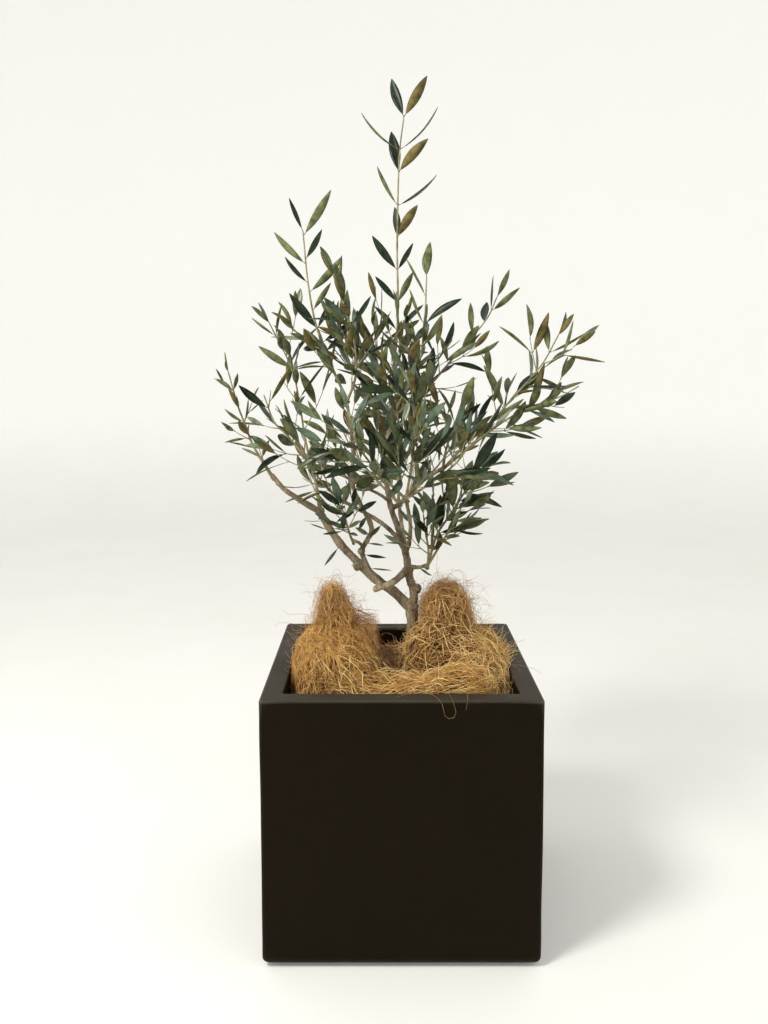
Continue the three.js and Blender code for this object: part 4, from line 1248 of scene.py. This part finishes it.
# %% Make the leaves: each goes to the finish whose range holds its tint
for name, (low, high, top, underside) in leaf_tints.items():
    chosen = [leaf for leaf in leaves if low <= leaf[-1] < high]
    corners = leaf_arrays(chosen)
    faces, slots = leaf_faces(len(chosen))
    piece = make_piece(name, corners.reshape(-1, 3), faces, [top, underside], slots)
    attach(piece, "root")
    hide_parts(*sprays)

# %% [markdown]
# ## Coconut fibre
#
# The mulch is pulled out of a pad by hand, so it lies in two heaps with a tall tuft each, a roll at
# the front and a low mat behind. A solid core carries the bulk. Over it lie thousands of separate
# fibres: each takes short steps along the surface, turns a little at random, and is pulled back to its
# own height above the core. Real hair strands would look the same, but they would not leave Blender
# as a mesh.

# %% The lumps that the fibre lies in: centre, half its width, depth and height, and the way it was pulled
lumps = [
    # the left heap: its body, its foot in front, its tuft and the tuft's tip
    ((-0.094, -0.020, 0.330), (0.060, 0.098, 0.071), (0.35, -0.35, -0.9)),
    ((-0.080, -0.068, 0.320), (0.054, 0.072, 0.040), (0.7, -0.4, -0.6)),
    ((-0.090, 0.002, 0.398), (0.019, 0.024, 0.035), (-0.2, -0.1, 1.0)),
    ((-0.101, 0.004, 0.430), (0.010, 0.015, 0.024), (-0.3, -0.1, 1.0)),
    # the right heap: its body, its tuft, its shoulder, its inner foot and the tuft's blunt top
    ((0.092, -0.008, 0.305), (0.074, 0.114, 0.080), (0.7, -0.3, -0.6)),
    ((0.071, 0.006, 0.371), (0.031, 0.043, 0.076), (-0.15, 0.0, 1.0)),
    ((0.100, -0.010, 0.342), (0.050, 0.070, 0.046), (0.8, -0.1, -0.5)),
    ((0.036, -0.030, 0.350), (0.028, 0.032, 0.050), (0.2, -0.1, 1.0)),
    ((0.069, 0.004, 0.423), (0.027, 0.030, 0.024), (0.3, -0.1, 1.0)),
    # the roll at the front, rising to the right, and the saddle that it lies on
    ((0.018, -0.131, 0.324), (0.044, 0.026, 0.024), (1.0, 0.15, 0.3)),
    ((0.055, -0.129, 0.334), (0.038, 0.026, 0.026), (1.0, 0.1, 0.3)),
    ((0.088, -0.122, 0.342), (0.032, 0.026, 0.027), (1.0, 0.2, 0.3)),
    ((-0.020, -0.104, 0.308), (0.084, 0.054, 0.040), (1.0, -0.2, 0.1)),
    # the low mat behind
    ((0.000, 0.080, 0.296), (0.160, 0.080, 0.032), (1.0, 0.3, 0.0)),
]
lump_centres, lump_halves, lump_flows = (np.array(column) for column in zip(*lumps))
tuft_lumps = [2, 3, 5, 8]
combed_lumps = [0, 9, 10, 11]
# Painted highlight: the palest fibres go only on these lumps, mostly the right heap and the roll, as though
# they caught more light
sunlit_lumps = [1, 4, 5, 6, 7, 8, 9, 10, 11, 12]
lump_blend = 0.006
inner_half = cavity_width(planter_height) / 2
overhang_rise = 0.012
usual_overhang, flying_overhang = 0.010, 0.034


# %% Height above the smoothly joined lumps, the way out of them, and the way they were pulled
def in_lump_sizes(points):
    """How many of its half sizes each point lies from each lump's centre, along each axis."""
    return (points[:, None] - lump_centres[None]) / lump_halves[None]


def above_lumps(points):
    scaled = in_lump_sizes(points)
    size = np.linalg.norm(scaled, axis=2)
    slope = np.linalg.norm(scaled / lump_halves[None], axis=2)
    each = size * (size - 1) / np.maximum(slope, 1e-9)
    return -lump_blend * np.log(np.exp(-each / lump_blend).sum(1))


def out_of_lumps(points):
    nudge = 0.0005
    slopes = [above_lumps(points + nudge * axis) - above_lumps(points - nudge * axis) for axis in np.eye(3)]
    return unit(np.stack(slopes, 1) + 1e-12)


def flow_at(points):
    nearest_counts = 12
    size = np.linalg.norm(in_lump_sizes(points), axis=2)
    nearness = np.exp(-nearest_counts * (size - size.min(1, keepdims=True)))
    return unit(nearness @ lump_flows + 1e-9)


# %% Settle points at a height above the lumps, and keep them inside the planter
def settle(points, height):
    rounds, longest_move = 3, 0.02
    for _ in range(rounds):
        off = (above_lumps(points) - height).clip(-longest_move, longest_move)
        points = points - out_of_lumps(points) * off[:, None]
    return points


def inside_rim(points, spare, overhang=usual_overhang):
    """Keep points within the planter's inner walls, and wider above the rim."""
    wider = np.clip((points[:, 2] - planter_height) / overhang_rise, 0, 1) * overhang
    reach = (inner_half - spare + wider)[:, None]
    return np.concatenate([points[:, :2].clip(-reach, reach), points[:, 2:]], 1)


# %% The core's finish: a mat of streaks that cross in three ways, its dark end painted shade for the gaps between fibres
def coir_core_finish():
    look = Finish("coir_mat_painted_shade")
    ways = [look.noise(150.0, detail=5.0, roughness=0.7, stretch=stretch)
            for stretch in ((1, 0.25, 1.6), (1.6, 1, 0.25), (0.25, 1.6, 1))]
    mat = look.between((ways[0] + ways[1] + ways[2]) * 0.333, 0.40, 0.60)
    # Painted shade: the mat's darkest tint stands in for shadow in the gaps between the fibres
    colour = look.blend(mat, shade(30, 17, 6), shade(108, 68, 30))
    normal = look.bump(mat, 0.9, 0.003)
    return look.finish(base_color=colour, roughness=0.88 + 0.08 * mat, normal=normal)


# %% The core: rounded lumps merged by voxels, then settled on the joined surface
core_voxel = 0.0042
core_depth = 0.006
core_spare = 0.003
core_foot = soil_top - 0.02
core_kinds = ((0.004, 0.03, 31), (0.002, 0.010, 32), (0.0012, 0.006, 33))
lump_share = 0.97
lump_sides = 24
turns = np.linspace(0, 2 * math.pi, lump_sides, endpoint=False)
ball = np.stack([np.stack([np.cos(tilt) * np.cos(turns), np.cos(tilt) * np.sin(turns),
                           np.full(lump_sides, math.sin(tilt))], 1)
                 for tilt in np.radians(np.linspace(-84, 84, 13))])
core_corners, core_sides, core_caps = [], [], []
for centre, half in zip(lump_centres, lump_halves):
    shift = sum(len(corners) for corners in core_corners)
    corners, (sides, caps) = skin_rings(ball * half * lump_share + centre)
    core_corners.append(corners)
    core_sides.append(sides + shift)
    core_caps.append(caps + shift)
raw = make_piece("coir_raw", np.vstack(core_corners), [np.vstack(core_sides), np.vstack(core_caps)], [])
core, skin = merge_by_voxels(raw, core_voxel)
skin = inside_rim(settle(skin, wobbles(skin, core_kinds) - core_depth), core_spare)
skin[:, 2] = np.maximum(skin[:, 2], core_foot)
coir_core = finish_merged("coir_core", core, skin, coir_core_finish())
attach(coir_core, "root")
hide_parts("coir_heap_left", "coir_heap_right", "coir_roll_front")

# %% [markdown]
# ## Separate fibres
#
# Fibres start anywhere on the part of the core that shows. They run mostly the way their lump was
# pulled, weaving a few millimetres up and down, and lie in locks: a lock's fibres start together and
# share their way and their turns. Five kinds are dealt out, from pale straw to deep brown: the palest
# lie mostly on the right heap and the roll as painted highlight, and the deep brown of those lying
# lower is partly painted shade. Finer ones leave the heaps as fuzz, most of all round the two tufts.

# %% Walk many fibres at once over the core
weave_range = (0.3, 0.7)
weave_share = 0.9
longest_pull = 0.008
turn_kept, turn_added = 0.8, 0.45
own_share = 0.25
fibre_spare = 0.002


def walk_fibres(starts, steps, step, height, spread, curl, seed, lock=1):
    """Lock is how many neighbours share their way and their turns."""
    chance = np.random.default_rng(seed)
    count = len(starts)
    points = settle(starts, height)
    locks = -(-count // lock)
    shared = np.repeat(chance.normal(size=(locks, 3)), lock, axis=0)[:count]
    own = chance.normal(size=(count, 3)) * (own_share if lock > 1 else 1.0)
    way = flow_at(points) + spread * (shared * (lock > 1) + own)
    way = unit(way * chance.choice([-1.0, 1.0], count)[:, None])
    turning = np.repeat(chance.normal(size=locks), lock)[:count] * curl
    phase = chance.uniform(0, 2 * math.pi, count)
    weave = chance.uniform(*weave_range, count)
    line = [points]
    for index in range(steps):
        out = out_of_lumps(points)
        way = unit(way - out * (way * out).sum(1, keepdims=True))
        turning = turn_kept * turning + chance.normal(size=count) * curl * turn_added
        way = unit(way * np.cos(turning)[:, None] + np.cross(out, way) * np.sin(turning)[:, None])
        points = points + way * step
        wanted = height * (weave_share + weave_share * np.sin(phase + weave * index))
        off = (above_lumps(points) - wanted).clip(-longest_pull, longest_pull)
        points = inside_rim(points - out_of_lumps(points) * off[:, None], fibre_spare)
        line.append(points)
    return np.stack(line, 1)


# %% Fibres that leave the heap in loose curves
stray_share = 0.45
spin_added = 0.06
fibre_weight = np.array([0, 0, -0.02])
start_depth, least_height, deepest = 0.002, 0.001, 0.01


def fly_fibres(starts, steps, step, rise, seed, spin_size):
    """Rise is how steeply a fibre leaves the core, and spin how tightly it curls."""
    chance = np.random.default_rng(seed)
    count = len(starts)
    out = out_of_lumps(starts)
    flow = flow_at(starts) * chance.choice([-1.0, 1.0], count)[:, None]
    way = unit(flow + out * rise[:, None] + stray_share * chance.normal(size=(count, 3)))
    spin = chance.normal(size=(count, 3)) * spin_size
    points = starts - out * start_depth
    line = [points]
    for _ in range(steps):
        spin = spin + chance.normal(size=(count, 3)) * spin_added
        way = unit(way + np.cross(spin, way) + fibre_weight)
        points = points + way * step
        depth = (least_height - above_lumps(points)).clip(0, deepest)
        points = inside_rim(points + out_of_lumps(points) * depth[:, None], least_height, flying_overhang)
        line.append(points)
    return np.stack(line, 1)


# %% Where fibres start: the part of the core that shows
core_places = skin[(skin[:, 2] > soil_top + 0.006)]
chance = np.random.default_rng(41)
lock_radius = 0.0035
tuft_foot, tuft_height = 0.37, 0.07
tuft_share = np.clip((core_places[:, 2] - tuft_foot) / tuft_height, 0, 1)


def pick_starts(count, tuft_weight, only=None, lock=1):
    """Seeded places on the core, more of them on the tufts, or only on some of the lumps."""
    odds = 1 + tuft_weight * tuft_share
    if only is not None:
        nearest_lump = np.linalg.norm(in_lump_sizes(core_places), axis=2).argmin(1)
        odds = odds * np.isin(nearest_lump, only)
    places = core_places[chance.choice(len(core_places), -(-count // lock), p=odds / odds.sum())]
    spread_out = chance.normal(size=(count, 3)) * lock_radius * (lock > 1)
    return np.repeat(places, lock, axis=0)[:count] + spread_out


def pick_among(places, count):
    return places[chance.choice(len(places), count)]


# %% Three-sided fibres from lines of equal step count, thinner towards both ends
any_way = np.array([0.31, 0.52, 0.79])
taper_from, taper_to, taper_power = 0.12, 0.93, 0.4


def fibre_piece(name, lines, thickness, look, dark, pale):
    count, levels = lines.shape[:2]
    along = unit(np.gradient(lines, axis=1) + 1e-12)
    helper = unit(np.cross(along, any_way) + 1e-12)
    other = np.cross(along, helper)
    taper = np.sin(np.linspace(taper_from, 1, levels) * math.pi * taper_to) ** taper_power
    radius = (thickness / 2)[:, None, None] * taper[None, :, None]
    angles = np.arange(3) * 2 * math.pi / 3
    rings = [lines + radius * (helper * math.cos(angle) + other * math.sin(angle)) for angle in angles]
    corners = np.stack(rings, 2).reshape(-1, 3)
    base = (np.arange(count) * levels * 3)[:, None, None]
    level = (np.arange(levels - 1) * 3)[None, :, None]
    here = np.arange(3)[None, None, :]
    after = (here + 1) % 3
    quads = np.stack([base + level + here, base + level + after,
                      base + level + 3 + after, base + level + 3 + here], 3).reshape(-1, 4)
    first = base[:, 0]
    last = first + (levels - 1) * 3
    caps = np.vstack([np.concatenate([first, first + 2, first + 1], 1),
                      np.concatenate([last, last + 1, last + 2], 1)])
    finish = patchy_finish(look, shade(*dark), shade(*pale), (120.0, 3.0), (0.32, 0.68), (0.62, 0.16),
                           specular_ior_level=0.35)
    piece = make_piece(name, corners, [quads, caps], [finish])
    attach(piece, "root")


# %% Deal out the fibres: count, thickness, height, spread, curl, fibres to a lock, lumps, two tints
fibre_kinds = {
    # Partly painted highlight: the palest fibres, only on the sunlit lumps
    "fibres_pale": (640, 0.00084, 0.0052, 0.50, 0.10, 2, sunlit_lumps, (248, 206, 124), (255, 234, 170)),
    "fibres_straw": (1900, 0.00064, 0.0044, 0.60, 0.12, 12, None, (218, 170, 94), (244, 206, 134)),
    "fibres_combed": (1300, 0.00052, 0.0038, 0.16, 0.05, 16, combed_lumps, (200, 148, 68), (244, 198, 114)),
    "fibres_tan": (2300, 0.00052, 0.0038, 0.70, 0.18, 14, None, (178, 124, 58), (218, 164, 90)),
    # Partly painted shade: brown fibres lying lowest, darkened for the gaps between locks
    "fibres_brown": (1800, 0.00048, 0.0028, 0.75, 0.22, 5, None, (86, 48, 18), (136, 82, 36)),
}
height_range = (0.2, 1.6)
thickness_range = (0.75, 1.3)
fibre_steps = 9
fibre_step = 0.0056
for seed, (name, kind) in enumerate(fibre_kinds.items(), start=50):
    count, thickness, height, spread, curl, lock, only, dark, pale = kind
    heights = chance.uniform(*height_range, count) * height
    starts = pick_starts(count, 1.0, only, lock)
    lines = walk_fibres(starts, fibre_steps, fibre_step, heights, spread, curl, seed, lock)
    fibre_piece(name, lines, thickness * chance.uniform(*thickness_range, count), "coir_" + name, dark, pale)

# %% A loose net of hairs that stands off the heaps
net_count, net_steps, net_step = 420, 12, 0.0052
net_tuft_weight, net_spread, net_curl = 9.0, 0.9, 0.32
hair = (0.00032, 0.00046)
net_heights = chance.uniform(0.003, 0.009, net_count)
net_lines = walk_fibres(pick_starts(net_count, net_tuft_weight), net_steps, net_step, net_heights,
                        net_spread, net_curl, seed=60)
fibre_piece("fibres_net", net_lines, chance.uniform(*hair, net_count), "coir_net",
            (140, 98, 56), (196, 150, 98))

# %% Fuzz all over, and thin loops round the two tufts, open enough to see through
flying_kinds = {
    "fuzz": (1500, (0.1, 0.8), 3.0, None, 8, 0.0055, 61, 0.22, (0.00030, 0.00046),
             (172, 124, 76), (224, 178, 122)),
    "loops": (420, (0.3, 1.4), 30.0, tuft_lumps, 18, 0.0042, 62, 0.26, hair,
              (146, 102, 60), (218, 168, 110)),
}
for name, kind in flying_kinds.items():
    count, rise_range, tuft_weight, only, steps, step, seed, spin_size, thickness, dark, pale = kind
    rise = chance.uniform(*rise_range, count)
    lines = fly_fibres(pick_starts(count, tuft_weight, only), steps, step, rise, seed, spin_size)
    fibre_piece("fibres_" + name, lines, chance.uniform(*thickness, count), "coir_" + name, dark, pale)

# %% Straws that stick out of the ragged right end
ragged_count, ragged_steps, ragged_step, ragged_spin = 190, 8, 0.0050, 0.10
ragged_left, ragged_low, ragged_high = 0.105, 0.330, 0.395
across, level = core_places[:, 0], core_places[:, 2]
ragged_places = core_places[(across > ragged_left) & (level > ragged_low) & (level < ragged_high)]
ragged_starts = pick_among(ragged_places, ragged_count)
ragged_rise = chance.uniform(0.3, 1.1, ragged_count)
ragged_lines = fly_fibres(ragged_starts, ragged_steps, ragged_step, ragged_rise, 63, ragged_spin)
fibre_piece("fibres_ragged", ragged_lines, chance.uniform(0.00046, 0.00066, ragged_count), "coir_ragged",
            (232, 184, 104), (255, 230, 166))

# %% [markdown]
# ### Strands from place to place
#
# Some strands leave one heap and end on another or farther down. Each runs between two seeded ends by
# way of a middle: it sags where the middle's lift is below zero and arches where it is above.

# %% Strands between two places
strand_levels = 16


def strand_lines(count, left, left_spread, right, right_spread, middle_spread, lift):
    left_ends = np.array(left) + chance.uniform(-1, 1, (count, 3)) * left_spread
    right_ends = np.array(right) + chance.uniform(-1, 1, (count, 3)) * right_spread
    middles = (left_ends + right_ends) / 2 + chance.uniform(-1, 1, (count, 3)) * middle_spread
    middles[:, 2] += lift
    share = np.linspace(0, 1, strand_levels)[None, :, None]
    return (left_ends[:, None] * (1 - share) ** 2 + 2 * middles[:, None] * share * (1 - share)
            + right_ends[:, None] * share ** 2)


# %% Count, left end, right end, each with its spread, the middle's spread and lift, and two tints
strand_thickness = (0.00034, 0.00054)
strands = {
    "fibres_across": (90, (-0.046, -0.020, 0.364), (0.014, 0.05, 0.030), (0.018, -0.020, 0.338),
                      (0.026, 0.05, 0.022), (0.014, 0.014, 0.012), -0.008, (100, 70, 40), (166, 124, 76)),
    "fibres_bridge": (150, (-0.076, 0.008, 0.406), (0.012, 0.036, 0.018), (-0.036, 0.008, 0.394),
                      (0.010, 0.038, 0.016), (0.014, 0.014, 0.014), -0.004, (170, 126, 72), (224, 180, 118)),
    "fibres_shoulder": (190, (-0.050, 0.000, 0.392), (0.014, 0.040, 0.014), (-0.034, 0.000, 0.344),
                        (0.007, 0.044, 0.016), (0.006, 0.012, 0.010), 0.020, (170, 126, 72), (224, 180, 118)),
    "fibres_arch_right": (130, (0.044, 0.002, 0.404), (0.009, 0.032, 0.020), (0.100, 0.002, 0.402),
                          (0.010, 0.032, 0.020), (0.022, 0.020, 0.026), 0.094,
                          (156, 112, 66), (226, 180, 122)),
    "fibres_arch_left": (80, (-0.124, 0.004, 0.404), (0.007, 0.020, 0.018), (-0.078, 0.004, 0.398),
                         (0.008, 0.022, 0.020), (0.020, 0.016, 0.022), 0.092,
                         (150, 108, 66), (222, 176, 120)),
}
for name, (count, *route, dark, pale) in strands.items():
    lines = strand_lines(count, *route)
    fibre_piece(name, lines, chance.uniform(*strand_thickness, count), "coir_" + name, dark, pale)

# %% Crossed fibres in the low hollow before the trunk, a few pale ones over many dark ones
hollow_top = 0.350
hollow_centre, hollow_half = np.array([-0.012, 0.035]), np.array([0.046, 0.105])
hollow_spread, hollow_curl = 1.4, 0.2
low_places = core_places[core_places[:, 2] < hollow_top]
hollow_places = low_places[(np.abs(low_places[:, :2] - hollow_centre) < hollow_half).all(1)]
for name, seed, count, height, dark, pale in (
        ("fibres_hollow_dark", 64, 900, 0.0044, (42, 27, 13), (88, 60, 33)),
        ("fibres_hollow_pale", 65, 260, 0.0062, (176, 132, 74), (236, 194, 126))):
    starts = pick_among(hollow_places, count)
    heights = chance.uniform(0.4, 1.5, count) * height
    lines = walk_fibres(starts, fibre_steps, fibre_step, heights, hollow_spread, hollow_curl, seed)
    fibre_piece(name, lines, chance.uniform(0.00042, 0.00064, count), "coir_" + name, dark, pale)

# %% The few strays that hang over the rim
stray_routes = [
    [(-0.0075, -0.178, 0.3515), (0.013, -0.166, 0.3530), (0.038, -0.172, 0.3540), (0.0514, -0.1885, 0.3480),
     (0.0571, -0.1900, 0.3296), (0.0700, -0.1900, 0.3328), (0.0653, -0.1865, 0.3515), (0.060, -0.160, 0.356)],
    [(0.082, -0.150, 0.352), (0.086, -0.176, 0.3530), (0.084, -0.1885, 0.3450), (0.0825, -0.1895, 0.3390)],
    [(0.150, -0.060, 0.362), (0.168, -0.070, 0.3600), (0.186, -0.082, 0.3590), (0.198, -0.088, 0.354)],
    [(0.146, -0.020, 0.372), (0.170, -0.030, 0.3800), (0.183, -0.034, 0.3860)],
    [(-0.128, 0.010, 0.380), (-0.150, 0.004, 0.3960), (-0.176, -0.004, 0.4020), (-0.186, -0.004, 0.396)],
    [(-0.120, 0.010, 0.400), (-0.140, 0.006, 0.4120), (-0.164, 0.010, 0.4110), (-0.176, 0.012, 0.417)],
]
stray_thickness = 0.00055
stray_levels = 22
stray_lines = []
for route in stray_routes:
    dense = smooth_route(route, 0.001)
    marks = np.linspace(0, len(dense) - 1, stray_levels).round().astype(int)
    stray_lines.append(dense[marks])
fibre_piece("fibres_stray", np.stack(stray_lines), np.full(len(stray_lines), stray_thickness), "coir_stray",
            (128, 96, 58), (176, 142, 96))

# %% [markdown]
# ## Studio
#
# A plain pale floor curves up on every side, so that the background stays even from any view. One soft
# light hangs above the front left, a weak one fills from the right, and an even light comes from all
# round.

# %% A round floor that curves up at its edge
flat_radius, bend_radius, sweep_height = 3.4, 1.6, 5.0
sweep_sides = 72


def sweep_piece():
    profile = [(flat_radius * share, 0.0) for share in (0.25, 0.6, 1.0)]
    for angle in np.radians(np.linspace(8, 90, 11)):
        profile.append((flat_radius + bend_radius * math.sin(angle), bend_radius * (1 - math.cos(angle))))
    profile.append((flat_radius + bend_radius, sweep_height))
    spin = np.linspace(0, 2 * math.pi, sweep_sides, endpoint=False)
    corners = [(0, 0, 0)] + [(r * math.cos(a), r * math.sin(a), z) for r, z in profile for a in spin]
    here = np.arange(sweep_sides)
    after = (here + 1) % sweep_sides
    centre = np.stack([np.zeros(sweep_sides, int), 1 + here, 1 + after], 1)
    quads = []
    for low in range(1, 1 + sweep_sides * (len(profile) - 1), sweep_sides):
        high = low + sweep_sides
        quads.append(np.stack([low + here, high + here, high + after, low + after], 1))
    look = Finish("studio_paper")
    mottle = look.noise(3.0, detail=2.0)
    lower = look.between(look.height(), 0.0, 0.5)
    paper = look.blend(lower, shade(230, 228, 222), shade(248, 248, 245))
    tone = look.blend(mottle * 0.3, paper, shade(250, 250, 249))
    look.finish(base_color=tone, roughness=0.9, emission_color=tone, emission_strength=0.12)
    return make_piece("studio_sweep", np.array(corners, dtype=float), [np.vstack(quads), centre],
                      [look.material])


sweep_piece()


# %% Lights
def soft_light(name, place, aim, size, power, colour):
    data = bpy.data.lights.new(name, "AREA")
    data.shape = "DISK"
    data.size = size
    data.energy = power
    data.color = colour
    lamp = add_to_scene(name, data)
    lamp.location = place
    direction = bpy.context.scene.cursor.location.copy()
    direction.xyz = (np.array(aim) - np.array(place)).tolist()
    lamp.rotation_mode = "QUATERNION"
    lamp.rotation_quaternion = direction.to_track_quat("-Z", "Y")


light_aim = (0, 0, 0.6)
warm_white = (1.0, 0.98, 0.95)
air_strength = 0.69
soft_light("top_light", (-1.3, -1.3, 2.3), light_aim, 0.7, 54, warm_white)
soft_light("fill_light", (2.2, -1.6, 1.8), light_aim, 1.6, 3, warm_white)
world = bpy.data.worlds.new("studio_air")
world.use_nodes = True
world.node_tree.nodes["Background"].inputs["Color"].default_value = (1.0, 1.0, 1.0, 1)
world.node_tree.nodes["Background"].inputs["Strength"].default_value = air_strength
bpy.context.scene.world = world
bpy.context.scene.view_settings.view_transform = "Standard"

# %% [markdown]
# ## Camera
#
# The camera stands 1.39 m from the trunk at 0.78 m and looks level, so upright lines stay upright. The
# frame is lowered by shifting the lens, the way a view camera does it.

# %% The camera
camera_data = bpy.data.cameras.new("camera")
camera_data.lens = 32.77
camera_data.sensor_width = 36
camera_data.shift_x = 0.0015
camera_data.shift_y = -0.1375
camera = add_to_scene("camera", camera_data)
camera.location = tuple(eye)
camera.rotation_euler = (math.radians(90), 0, 0)
bpy.context.scene.camera = camera
